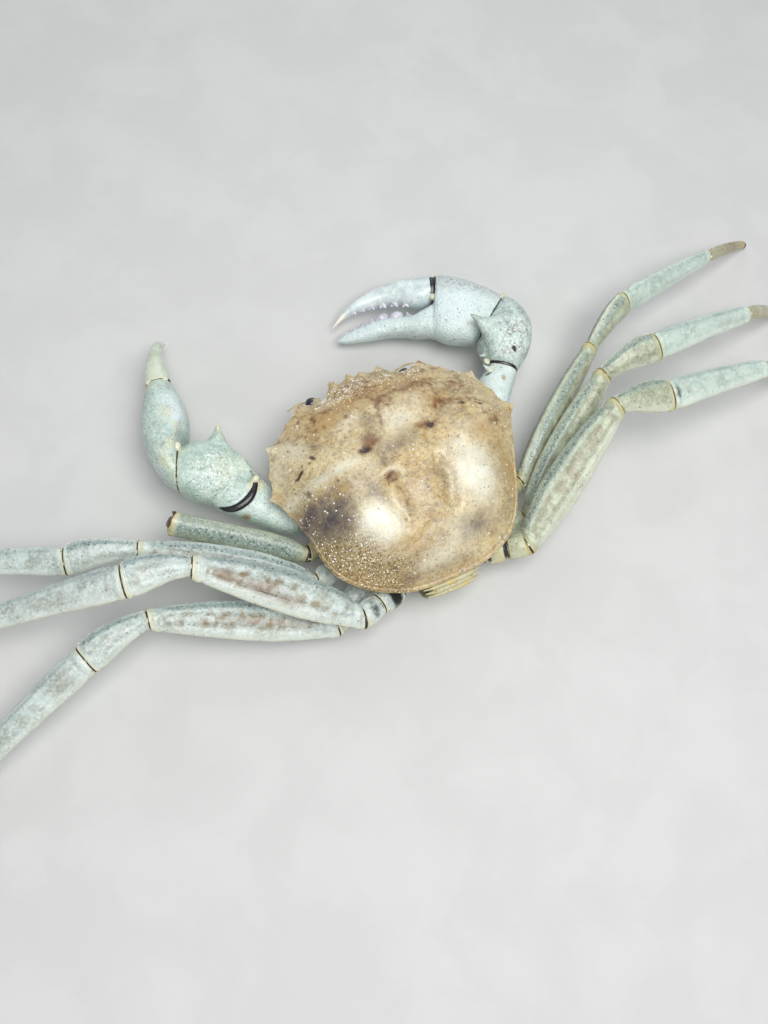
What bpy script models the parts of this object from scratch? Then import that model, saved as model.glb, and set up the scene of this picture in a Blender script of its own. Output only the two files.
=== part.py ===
"""Crystal crab, life size, as a still model in the pose of the photograph.

Frame: metres, +Z up, the face looks along -Y and the crab's left side is +X. The origin is the
flat patch of the breast plate that stands on the floor. All lengths below are written in
millimetres and turned into metres by MM.
"""
import math

import bmesh
import bpy
from mathutils import Matrix, Vector

MM = 0.001
GAP = 0.3                      # space left at every joint face

# Carapace
CARAPACE_HALF_WIDTH = 71.5     # without the side teeth
DOME_HEIGHT = 26.0             # rim to crown
DOME_POWER = 2.4               # how late the dome turns down to the rim
SEAM_HEIGHT = 27.5             # plane where the carapace sits on the thorax
CROWN_CENTRE_Y = 2.0

# Walking legs: lengths of merus, carpus, propodus and dactylus
LEG_LENGTHS = {3: (98, 37, 80, 63), 4: (100, 36, 80, 60), 5: (95, 34, 76, 57)}
# and the half widths of the same segments across the broad side, then through the leg
LEG_BROAD = {2: 7.6, 3: 9.6, 4: 10.4, 5: 11.2}
LEG_THICK = {2: 5.6, 3: 5.6, 4: 5.8, 5: 5.8}

# Pose of each walking leg. "root" is where the merus starts; every segment then has a sweep, the
# angle from straight out to the side and positive to the rear, and a rise above the level.
# "roll" turns the broad face: 0 lies flat, 90 stands on edge.
POSE = {
    (3, "left"): {"coxa": (45, 28, 13), "root": (67.7, 37.2, 19.5), "roll": 35,
                  "turns": ((-31.8, 10.6), (-14, 0), (-23.6, -7.2), (-23.6, None))},
    (4, "left"): {"coxa": (42, 46, 12), "root": (67.8, 63.4, 17), "roll": 16,
                  "turns": ((-24.2, 9.8), (11, -0.6), (21.6, -8.6), (21.6, None))},
    (5, "left"): {"coxa": (28, 58, 19), "root": (53.8, 66.4, 28.5), "roll": 15,
                  "turns": ((-37.4, 14.5), (-9.5, 4), (-11, -15.7), (-11, None))},
    (3, "right"): {"coxa": (45, 28, 13), "root": (67.8, 28.9, 20), "roll": 62,
                   "turns": ((-37.1, 7.6), (-29, 10.3), (-10.1, -7), (-10, None))},
    (4, "right"): {"coxa": (42, 46, 12), "root": (61.1, 51.2, 17.5), "roll": 34,
                   "turns": ((-37, 13.6), (-3.1, 12.3), (-2.1, -10.1), (-2.1, None))},
    (5, "right"): {"coxa": (28, 58, 19), "root": (50.3, 66, 28.5), "roll": 14,
                   "turns": ((-31.9, 16.6), (9.6, -3.5), (3, -9.2), (3, None))},
}


def clear_scene():
    for item in list(bpy.data.objects):
        bpy.data.objects.remove(item, do_unlink=True)


def collection(name, hidden=False):
    group = bpy.data.collections.new(name)
    bpy.context.scene.collection.children.link(group)
    group.hide_render = hidden
    return group


def material(name, colour, roughness):
    slot = bpy.data.materials.new(name)
    slot.use_nodes = True
    shader = slot.node_tree.nodes["Principled BSDF"]
    shader.inputs["Base Color"].default_value = (*colour, 1.0)
    shader.inputs["Roughness"].default_value = roughness
    slot.diffuse_color = (*colour, 1.0)
    return slot


def add_mesh(name, verts, faces, group, slot=None):
    """A closed mesh from points in millimetres, normals outward."""
    mesh = bpy.data.meshes.new(name)
    mesh.from_pydata([Vector(v) * MM for v in verts], [], faces)
    work = bmesh.new()
    work.from_mesh(mesh)
    bmesh.ops.recalc_face_normals(work, faces=work.faces)
    work.to_mesh(mesh)
    work.free()
    thing = bpy.data.objects.new(name, mesh)
    group.objects.link(thing)
    if slot:
        mesh.materials.append(slot)
    return thing


def ring(centre, broad, through, half, power, count):
    """Closed rounded section; half = (broad side, its opposite, through, its opposite)."""
    points = []
    for k in range(count):
        angle = 2 * math.pi * (k + 0.5) / count
        c, s = math.cos(angle), math.sin(angle)
        x = math.copysign(abs(c) ** (2 / power), c)
        y = math.copysign(abs(s) ** (2 / power), s)
        x *= half[0] if x > 0 else half[1]
        y *= half[2] if y > 0 else half[3]
        points.append(centre + broad * x + through * y)
    return points


def skin(name, rings, group, slot=None):
    """Join rings of equal count into one closed body with flat ends."""
    count = len(rings[0])
    verts = [p for r in rings for p in r]
    faces = []
    for k in range(len(rings) - 1):
        for i in range(count):
            j = (i + 1) % count
            faces.append((k * count + i, k * count + j, (k + 1) * count + j, (k + 1) * count + i))
    last = (len(rings) - 1) * count
    faces.append(tuple(range(count - 1, -1, -1)))
    faces.append(tuple(range(last, last + count)))
    return add_mesh(name, verts, faces, group, slot)


def loft(name, stations, face_normal, group, slot=None, power=2.3, count=12):
    """stations: (point, heading, half widths). The broad axis lies across heading and face_normal."""
    rings = []
    for point, heading, half in stations:
        heading = heading.normalized()
        through = (face_normal - heading * face_normal.dot(heading)).normalized()
        broad = heading.cross(through)
        if len(half) == 2:
            half = (half[0], half[0], half[1], half[1])
        rings.append(ring(point, broad, through, half, power, count))
    return skin(name, rings, group, slot)


def heading_of(side, sweep, rise):
    sweep, rise = math.radians(sweep), math.radians(rise)
    return Vector((side * math.cos(sweep) * math.cos(rise), math.sin(sweep) * math.cos(rise), math.sin(rise)))


def straight(start, end, start_normal, end_normal, profile, bow=0.0, bow_axis=None):
    """Stations of a segment between two joint faces; profile: (share of length, broad, through)."""
    start = start + start_normal * GAP / 2
    end = end - end_normal * GAP / 2
    run = end - start
    stations = []
    for share, broad, through in profile:
        point = start + run * share
        heading = run.normalized()
        if bow:
            point = point + bow_axis * bow * 4 * share * (1 - share)
            heading = (heading + bow_axis * bow * 4 * (1 - 2 * share) / run.length).normalized()
        near = max(0.0, 1 - share / 0.12)
        far = max(0.0, 1 - (1 - share) / 0.12)
        heading = heading * (1 - near - far) + start_normal * near + end_normal * far
        stations.append((point, heading, (broad, through)))
    return stations


def curved(start, end, start_normal, end_normal, pull, profile):
    """Stations along a smooth curve that leaves and arrives square to its end faces."""
    length = (end - start).length
    a, b = start_normal * pull[0] * length, end_normal * pull[1] * length
    stations = []
    for share, broad, through in profile:
        t, t2, t3 = share, share ** 2, share ** 3
        point = start * (2 * t3 - 3 * t2 + 1) + a * (t3 - 2 * t2 + t) + end * (3 * t2 - 2 * t3) + b * (t3 - t2)
        slope = (start * (6 * t2 - 6 * t) + a * (3 * t2 - 4 * t + 1) + end * (6 * t - 6 * t2)
                 + b * (3 * t2 - 2 * t))
        stations.append((point, slope, (broad, through)))
    return stations


def cone(name, base, tip, radius, group, tip_radius=0.25, sides=8):
    """A tapered spine from base to tip."""
    axis = Vector(tip) - Vector(base)
    bpy.ops.mesh.primitive_cone_add(vertices=sides, radius1=radius * MM, radius2=tip_radius * MM,
                                    depth=axis.length * MM)
    thing = bpy.context.object
    thing.name = name
    turn = axis.to_track_quat("Z", "Y").to_matrix().to_4x4()
    turn.translation = (Vector(base) + axis / 2) * MM
    thing.data.transform(turn)
    move_to(thing, group)
    return thing


def ball(name, centre, radii, group, segments=10, rings=7):
    bpy.ops.mesh.primitive_uv_sphere_add(segments=segments, ring_count=rings, radius=MM)
    thing = bpy.context.object
    thing.name = name
    for vert in thing.data.vertices:
        vert.co = Vector((vert.co.x * radii[0], vert.co.y * radii[1], vert.co.z * radii[2])) + Vector(centre) * MM
    move_to(thing, group)
    return thing


def rod(name, start, end, radius, group, end_radius=None, sides=20):
    return cone(name, start, end, radius, group, radius if end_radius is None else end_radius, sides)


def move_to(thing, group):
    for holder in list(thing.users_collection):
        holder.objects.unlink(thing)
    group.objects.link(thing)


def apply_modifiers(thing):
    bpy.context.view_layer.objects.active = thing
    for step in list(thing.modifiers):
        bpy.ops.object.modifier_apply(modifier=step.name)


def combine(thing, others, operation):
    """One exact Boolean of thing with all the others, which are used up."""
    group = bpy.data.collections.new("operands")
    bpy.context.scene.collection.children.link(group)
    for other in others:
        move_to(other, group)
    step = thing.modifiers.new("combine", "BOOLEAN")
    step.operation = operation
    step.solver = "EXACT"
    step.operand_type = "COLLECTION"
    step.collection = group
    apply_modifiers(thing)
    for other in list(group.objects):
        bpy.data.objects.remove(other, do_unlink=True)
    bpy.data.collections.remove(group)
    keep_largest(thing)
    return thing


def keep_largest(thing):
    """Weld and keep only the largest closed surface."""
    work = bmesh.new()
    work.from_mesh(thing.data)
    bmesh.ops.remove_doubles(work, verts=work.verts, dist=0.000002)
    bmesh.ops.dissolve_degenerate(work, edges=work.edges, dist=0.000002)
    seen = set()
    parts = []
    for seed in work.verts:
        if seed in seen:
            continue
        stack, part = [seed], []
        seen.add(seed)
        while stack:
            vert = stack.pop()
            part.append(vert)
            for edge in vert.link_edges:
                other = edge.other_vert(vert)
                if other not in seen:
                    seen.add(other)
                    stack.append(other)
        parts.append(part)
    parts.sort(key=len, reverse=True)
    for part in parts[1:]:
        bmesh.ops.delete(work, geom=part, context="VERTS")
    bmesh.ops.recalc_face_normals(work, faces=work.faces)
    work.to_mesh(thing.data)
    work.free()


def mirrored(thing):
    """Mirror modifier across the middle plane, applied."""
    step = thing.modifiers.new("mirror", "MIRROR")
    step.use_axis[0] = True
    step.use_clip = True
    step.merge_threshold = 0.00005
    apply_modifiers(thing)
    return thing


def hump(x, y, cx, cy, sx, sy, height):
    return height * math.exp(-((x - cx) / sx) ** 2 - ((y - cy) / sy) ** 2)


def groove(x, y, path, width, depth):
    """Valley (negative depth) or ridge along a line of points."""
    best = 1e9
    for (ax, ay), (bx, by) in zip(path, path[1:]):
        length2 = (bx - ax) ** 2 + (by - ay) ** 2
        t = max(0.0, min(1.0, ((x - ax) * (bx - ax) + (y - ay) * (by - ay)) / length2))
        best = min(best, (x - ax - t * (bx - ax)) ** 2 + (y - ay - t * (by - ay)) ** 2)
    return depth * math.exp(-best / width ** 2)


# Half outline of the carapace from the middle of the front to the middle of the back (x, y, z):
# brow, orbit, side edge with the five tooth places, flank, rear margin.
OUTLINE = [
    (0, -64.5, 37), (5, -64.5, 37), (10, -63.5, 37.2), (15, -63.2, 37.6), (18.5, -61.5, 38),
    (21.5, -58, 38.6), (26, -56.3, 39.2), (31, -56.4, 39.4), (36, -57.5, 39.2), (40, -56.8, 39),
    (46, -52, 39), (52, -47.5, 39.2), (58, -43, 39.5), (63.5, -38, 40), (67, -31.5, 40),
    (69.5, -24.5, 40), (71.2, -16.5, 40), (71.5, -9, 40), (69.5, -2, 39.8), (67, 5.5, 39.3),
    (65, 12.5, 38.7), (63.5, 20, 38), (62.5, 28, 37.4), (60.8, 36, 36.9), (57, 43.5, 36.5),
    (51, 50.5, 36.2), (44, 56.2, 36), (35, 61.5, 36), (25, 65.3, 36), (13, 67.2, 36), (0, 67.5, 36),
]


def carapace_surface(x, y, rim_z, r):
    """Height of the shield at share r of the way from the crown to the rim."""
    ax = abs(x)
    fade = 1 - r ** 6
    z = rim_z + DOME_HEIGHT * (1 - r ** DOME_POWER)
    z += fade * hump(ax, y, 40, 22, 17, 24, 4.5)        # branchial swelling
    z += fade * hump(ax, y, 47, -15, 15, 9, 1.8)        # front branchial swelling
    z += fade * hump(ax, y, 0, -28, 20, 13, 1.6)        # stomach region
    z += fade * hump(ax, y, 13, -36, 8, 9, 1.4)
    z += fade * hump(ax, y, 0, 21, 9, 12, 1.6)          # heart region
    z += fade * hump(ax, y, 42, -38, 10, 7, -1.8)
    z += fade * groove(ax, y, [(14, 10), (17, 19), (13, 32)], 4.0, -2.4)
    z += fade * groove(ax, y, [(16, -2), (20, -11), (34, -22), (46, -31)], 5.0, -1.8)
    z += fade * groove(ax, y, [(70, -10), (52, -4), (34, 1)], 5.0, 1.6)
    return z


def make_carapace(group, cutters, slot):
    rows = [0.16, 0.32, 0.46, 0.6, 0.72, 0.82, 0.9, 0.96, 1.0]
    under = [(0.995, 0.16), (0.965, 0.42), (0.915, 0.72), (0.87, 0.92)]
    count = len(OUTLINE)
    verts = [(0, CROWN_CENTRE_Y, carapace_surface(0, CROWN_CENTRE_Y, 38, 0.0))]
    for r in rows:
        for x, y, z in OUTLINE:
            px, py = x * r, CROWN_CENTRE_Y + (y - CROWN_CENTRE_Y) * r
            rim = z * r + 38 * (1 - r)
            verts.append((px, py, carapace_surface(px, py, rim, r)))
    for r, share in under:
        for x, y, z in OUTLINE:
            drop = (z - SEAM_HEIGHT - GAP / 2) * share
            verts.append((x * r, CROWN_CENTRE_Y + (y - CROWN_CENTRE_Y) * r, z - drop))
    for x, y, z in OUTLINE:
        verts.append((x * 0.83, CROWN_CENTRE_Y + (y - CROWN_CENTRE_Y) * 0.83, SEAM_HEIGHT + GAP / 2))
    faces = []
    for i in range(count - 1):
        faces.append((0, 1 + i, 2 + i))
    levels = len(rows) + len(under) + 1
    for k in range(levels - 1):
        a, b = 1 + k * count, 1 + (k + 1) * count
        for i in range(count - 1):
            faces.append((a + i, b + i, b + i + 1, a + i + 1))
    last = 1 + (levels - 1) * count
    faces.append(tuple(range(last + count - 1, last - 1, -1)))
    body = add_mesh("carapace", verts, faces, group, slot)
    mirrored(body)
    spines = []
    for side in (-1, 1):
        # four brow teeth, then the five side teeth; the first of these guards the orbit
        for base, tip, radius in (
                ((4.2, -61.5, 37.4), (3.8, -68.6, 37.6), 2.6), ((14.2, -60.5, 38), (15.2, -68.4, 38), 2.8),
                ((37.5, -55, 38.6), (40.2, -62.6, 39.4), 3.2), ((48, -48.5, 38.8), (51.2, -53, 39.2), 2.2),
                ((61, -36.5, 39.2), (67, -42, 40.4), 3.4), ((68.3, -24, 39.4), (72, -25.5, 39.6), 2.0),
                ((68.5, -9, 39.4), (76.4, -11, 40.8), 3.6)):
            spines.append(cone("tooth", (side * base[0], base[1], base[2]), (side * tip[0], tip[1], tip[2]),
                               radius, cutters))
    combine(body, spines, "UNION")
    hollows = []
    for side in (-1, 1):
        hollows.append(rod("orbit", (side * 19.6, -57.2, 33), (side * 40, -66.2, 33.6), 5.2, cutters, 6.2))
    return combine(body, hollows, "DIFFERENCE")


# Levels of the underbody: height, half width, front reach, rear reach
THORAX_LEVELS = [
    (SEAM_HEIGHT - GAP / 2, 51, -59, 61), (20, 50, -56, 61), (12, 46, -48, 58),
    (5.5, 39, -39, 53), (1.4, 32, -32, 47), (0, 28, -29, 44),
]
ABDOMEN_PATH = [(70.5, 29, 15), (69.6, 22, 15.5), (66.5, 12, 15), (61.5, 5.5, 14), (53, 2.6, 12.5), (42, 2.1, 10.5),
                (28, 2.05, 8.6), (14, 2.05, 7.2), (2, 2.05, 6.0), (-6, 2.05, 4.6), (-10, 2.05, 2.6)]


def belly_strip(name, extra, group, slot=None):
    """The abdomen folded under the body, in a groove; extra widens it for cutting the groove."""
    stations = []
    last = len(ABDOMEN_PATH) - 1
    for k, (y, z, half) in enumerate(ABDOMEN_PATH):
        before = ABDOMEN_PATH[max(0, k - 1)]
        after = ABDOMEN_PATH[min(last, k + 1)]
        heading = Vector((0, after[0] - before[0], after[1] - before[1])).normalized()
        point = Vector((0, y, z))
        if k in (0, last):
            point += heading * (extra if k else -extra)
        stations.append((point, heading, (half + extra, 1.9 + extra)))
    return loft(name, stations, Vector((0, 1, -0.4)), group, slot, power=4.0, count=12)


def buccal_frame():
    """Flat seat of the mouthparts: start, along, outward."""
    start = Vector((0, -34.5, 6.4))
    along = Vector((0, -22.5, 15.5)).normalized()
    outward = Vector((0, along.z * -1, along.y)).normalized()
    return start, along, outward


def make_thorax(group, cutters, slot, seats):
    rings = []
    count = 36
    for z, half, front, rear in THORAX_LEVELS:
        points = []
        for k in range(count):
            angle = 2 * math.pi * k / count
            c, s = math.cos(angle), math.sin(angle)
            x = math.copysign(abs(c) ** 0.78, c) * half
            y = math.copysign(abs(s) ** 0.78, s)
            middle = 4.0
            y = middle + (y * (rear - middle) if y > 0 else -y * (front - middle))
            points.append(Vector((x, y, z)))
        rings.append(points)
    body = skin("thorax", rings, group, slot)
    cuts = [belly_strip("abdomen_groove", GAP, cutters)]
    for point, heading, radius in seats:
        # a flat-floored socket for every limb, wider than the limb by half a millimetre
        cuts.append(rod("socket", point - heading * GAP / 2, point + heading * 26, radius, cutters,
                        radius + 6, sides=16))
    start, along, outward = buccal_frame()
    rings = []
    for share in (-0.02, 1.6):
        p = start + along * 30 * share
        rings.append([p + Vector((-17, 0, 0)), p + Vector((17, 0, 0)),
                      p + Vector((19, 0, 0)) + outward * 14, p + Vector((-19, 0, 0)) + outward * 14])
    cuts.append(skin("buccal_cut", rings, cutters))
    return combine(body, cuts, "DIFFERENCE")


def make_maxilliped(name, side, group, cutters, slot):
    """Third maxilliped: broad ischium plate, squarish merus and a small folded palp.

    It is built on the left and turned over for the right.
    """
    start, along, outward = buccal_frame()
    across = Vector((1, 0, 0))
    def at(share, x, lift):
        return start + along * share + across * x + outward * (GAP + lift)
    rows = [(0.8, 3.4, 12.4, 2.6), (4, 1.0, 14.2, 3.6), (12, 0.7, 15.2, 3.8), (18.2, 0.9, 15.4, 3.4),
            (19.2, 1.5, 15.2, 2.6), (20.4, 1.5, 15.2, 3.2), (23.6, 2.0, 14.8, 3.4), (26.2, 4.0, 12.6, 2.4)]
    rings = []
    for share, inner, outer, lift in rows:
        rings.append([at(share, inner, 0), at(share, outer, 0), at(share, outer + 0.3, lift * 0.55),
                      at(share, outer - 1.6, lift * 0.9), at(share, (inner + outer) / 2, lift),
                      at(share, inner + 1.4, lift * 0.85), at(share, inner, lift * 0.5)])
    plate = skin(name, rings, group, slot)
    palp = [(at(24.4, 5.5, 1.3), at(24.1, 5.3, 3.2) - at(24.4, 5.5, 1.3), (1.9, 2.1)),
            (at(23.6, 5.0, 4.2), -along, (2.2, 2.0)), (at(19, 3.6, 4.6), -along, (1.9, 1.6)),
            (at(14, 3.2, 4.6), -along, (1.0, 0.8))]
    combine(plate, [loft("palp", palp, across, cutters, power=2.2, count=8)], "UNION")
    if side < 0:
        plate.data.transform(Matrix.Scale(-1, 4, Vector((1, 0, 0))))
        plate.data.flip_normals()
    return plate


def make_eye(name, side, group, cutters, slot):
    """Short stalk out of the orbit wall, swelling into the cornea."""
    start = Vector((side * 19.6, -57.2, 33))
    axis = (Vector((side * 40, -66.2, 33.6)) - start).normalized()
    profile = [(GAP, 2.3), (3, 2.2), (6, 2.5), (8, 3.2), (10.2, 3.7), (12.4, 3.3), (13.8, 2.2), (14.4, 0.9)]
    stations = [(start + axis * s, axis, (r, r * 0.92)) for s, r in profile]
    return loft(name, stations, Vector((0, 0, 1)), group, slot, power=2.0, count=12)


def whip(name, side, points, group, slot):
    """Thin round feeler through points with radii, standing off its seat by the joint gap."""
    path = [Vector((side * x, y, z)) for (x, y, z), radius in points]
    stations = []
    for k, (_, radius) in enumerate(points):
        heading = (path[min(k + 1, len(path) - 1)] - path[max(k - 1, 0)]).normalized()
        stations.append((path[k] + (heading * GAP / 2 if k == 0 else Vector()), heading, (radius, radius)))
    return loft(name, stations, Vector((0, 0, 1)), group, slot, power=2.0, count=8)


def make_antenna(name, side, group, cutters, slot):
    """Peduncle of the second antenna and its short whip, tucked under the orbit."""
    points = [((18.6, -56.2, 24.4), 2.0), ((19.6, -58.4, 24.2), 2.0), ((21.6, -60.6, 24.4), 1.5), ((23.6, -62.2, 25), 1.2),
              ((26, -63.4, 25.6), 0.8), ((31, -64.8, 26.2), 0.6), ((37, -65, 26.4), 0.5), ((43, -63.6, 26), 0.4)]
    return whip(name, side, points, group, slot)


def make_antennule(name, side, group, cutters, slot):
    """First antenna: swollen base under the brow with a small folded flagellum."""
    points = [((7, -57.6, 24.8), 2.0), ((7, -59.6, 25.0), 2.2), ((7.6, -61.6, 25.8), 1.8), ((9.4, -63, 26.6), 1.3),
              ((12, -63.2, 27.8), 1.0), ((14.4, -62.8, 28.4), 0.6)]
    return whip(name, side, points, group, slot)


MERUS = [(0, 0.56, 0.66), (0.07, 0.66, 0.78), (0.18, 0.84, 0.93), (0.33, 0.99, 1), (0.48, 1, 1), (0.64, 0.93, 0.97),
         (0.8, 0.79, 0.9), (0.92, 0.64, 0.84), (1, 0.57, 0.74)]
CARPUS = [(0, 0.44, 0.6), (0.12, 0.5, 0.72), (0.35, 0.62, 0.86), (0.6, 0.77, 0.94), (0.85, 0.86, 0.94),
          (1, 0.8, 0.82)]
PROPODUS = [(0, 0.76, 0.76), (0.1, 0.8, 0.84), (0.3, 0.74, 0.82), (0.55, 0.66, 0.76), (0.8, 0.58, 0.7),
            (0.95, 0.5, 0.62), (1, 0.42, 0.54)]
DACTYLUS = [(0, 0.38, 0.5), (0.12, 0.4, 0.52), (0.35, 0.36, 0.46), (0.6, 0.28, 0.36), (0.8, 0.2, 0.25),
            (0.93, 0.12, 0.15), (1, 0.07, 0.12)]


def scaled(profile, broad, through):
    return [(s, b * broad, t * through) for s, b, t in profile]


def broad_face_normal(heading, roll, side):
    """Normal of the rear face of a leg; roll 0 turns it up, 90 turns it backward."""
    back = Vector((0, 1, 0)) - heading * heading.y
    up = heading.cross(back.normalized()) * side
    if up.z < 0:
        up = -up
    roll = math.radians(roll)
    return (up * math.cos(roll) + back.normalized() * math.sin(roll)).normalized()


def leg_frame(number, side_name):
    """Joint points, segment headings and joint normals of one leg."""
    side = 1 if side_name == "left" else -1
    pose = POSE[(number, side_name)]
    flip = Vector((side, 1, 1))
    coxa = Vector(pose["coxa"]) * flip
    root = Vector(pose["root"]) * flip
    points = [coxa, root]
    headings = [(root - coxa).normalized()]
    for (sweep, rise), length in zip(pose["turns"], LEG_LENGTHS[number]):
        if rise is None:
            run = math.sqrt(length ** 2 - points[-1].z ** 2)
            heading = heading_of(side, sweep, 0)
            points.append(Vector((points[-1].x, points[-1].y, 0)) + heading * run)
            headings.append((points[-1] - points[-2]).normalized())
        else:
            heading = heading_of(side, sweep, rise)
            points.append(points[-1] + heading * length)
            headings.append(heading)
    normals = [headings[0]]
    for a, b in zip(headings, headings[1:]):
        normals.append((a + b).normalized())
    return side, points, headings, normals


def make_leg(number, side_name, group, cutters, slots):
    side, points, headings, normals = leg_frame(number, side_name)
    broad, through = LEG_BROAD[number], LEG_THICK[number]
    face = broad_face_normal(headings[1], POSE[(number, side_name)]["roll"], side)
    tag = "leg%d_%s_" % (number, side_name)
    forward = headings[1].cross(face)
    if forward.y > 0:
        forward = -forward
    middle = points[0].lerp(points[1], 0.55)
    if number == 5:
        hip = [(0, 7.0, 5.6), (0.3, 8.0, 6.2), (0.7, 7.4, 6.0), (1, 6.2, 5.0)]
        loft(tag + "coxa", straight(points[0], middle, normals[0], headings[0], hip), face, group, slots["leg"])
        neck = [(0, 6.2, 5.0), (0.3, 6.9, 5.4), (0.75, 6.8, 5.0), (1, 6.2, 4.2)]
        loft(tag + "ischium", straight(middle, points[1], headings[0], normals[1], neck), face, group,
             slots["leg"])
    else:
        hip = [(0, 7.0, 5.8), (0.2, 7.6, 6.2), (0.45, 6.6, 5.4), (0.52, 6.2, 5.0), (0.7, 6.6, 5.0), (1, 5.4, 4.0)]
        loft(tag + "coxa", straight(points[0], points[1], normals[0], normals[1], hip), face, group, slots["leg"])
    merus = straight(points[1], points[2], normals[1], normals[2], scaled(MERUS, broad, through), 1.6, forward)
    thigh = loft(tag + "merus", merus, face, group, slots["leg"])
    crest = points[1].lerp(points[2], 0.93) + forward * broad * 0.5
    tip = points[2] + forward * (broad * 0.57 + 2.2) - headings[1] * 1.0
    combine(thigh, [cone("spur", crest, tip, 2.2, cutters)], "UNION")
    loft(tag + "carpus", straight(points[2], points[3], normals[2], normals[3], scaled(CARPUS, broad, through),
                                  2.4, forward), face, group, slots["leg"])
    loft(tag + "propodus", straight(points[3], points[4], normals[3], normals[4],
                                    scaled(PROPODUS, broad, through), 0.8, forward), face, group, slots["leg"])
    start = points[4] + normals[4] * GAP / 2
    claw = curved(start, points[5], normals[4], Vector((0, 0, -1)), (0.9, 0.35), scaled(DACTYLUS, broad, through))
    loft(tag + "dactylus", claw, face, group, slots["tip"])


def make_stumps(group, cutters, slots):
    """Second legs: on the left a merus open at its broken end, on the right only the hip."""
    for side_name, side in (("left", 1), ("right", -1)):
        coxa = Vector((side * 45, 12, 14))
        root = Vector((side * 66, 20, 21.5)) if side > 0 else Vector((side * 62, 17, 19))
        heading = (root - coxa).normalized()
        out = (Vector((127.9, -21.5, 35)) - root).normalized() if side > 0 else heading
        joint = (heading + out).normalized()
        face = broad_face_normal(out, 66, side)
        hip = [(0, 6.6, 5.6), (0.2, 7.2, 6.0), (0.45, 6.2, 5.2), (0.52, 5.8, 4.8), (0.7, 6.2, 5.0), (1, 5.2, 4.0)]
        loft("leg2_%s_coxa" % side_name, straight(coxa, root, heading, joint, hip), face, group, slots["leg"])
        if side < 0:
            continue
        end = root + out * 77
        shape = [(s, b * 7.8, t * 5.7) for s, b, t in
                 ((0, 0.6, 0.68), (0.08, 0.76, 0.84), (0.25, 1, 1), (0.55, 1, 1), (0.85, 0.88, 0.98), (0.95, 0.9, 1.02), (1, 0.94, 1.06))]
        tube = loft("leg2_left_merus", straight(root, end, joint, out, shape), face, group, slots["leg"])
        bore = [(end - out * 14, out, (4.2, 3.0)), (end - out * 8, out, (5.6, 4.2)), (end + out * 2, out, (6.3, 5.0))]
        bite = [loft("bore", bore, face, cutters)]
        up = out.cross(face)
        if up.z < 0:
            up = -up
        # the rim dips between its two hinge knobs
        bite.append(rod("notch_a", end + up * 9 + face * 1.2, end + up * 2.4 + face * 1.2 + out * 1.2, 3.0, cutters))
        bite.append(rod("notch_b", end - up * 9 + face * 0.4, end - up * 2.4 + face * 0.4 + out * 1.4, 2.6, cutters))
        combine(tube, bite, "DIFFERENCE")


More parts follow.
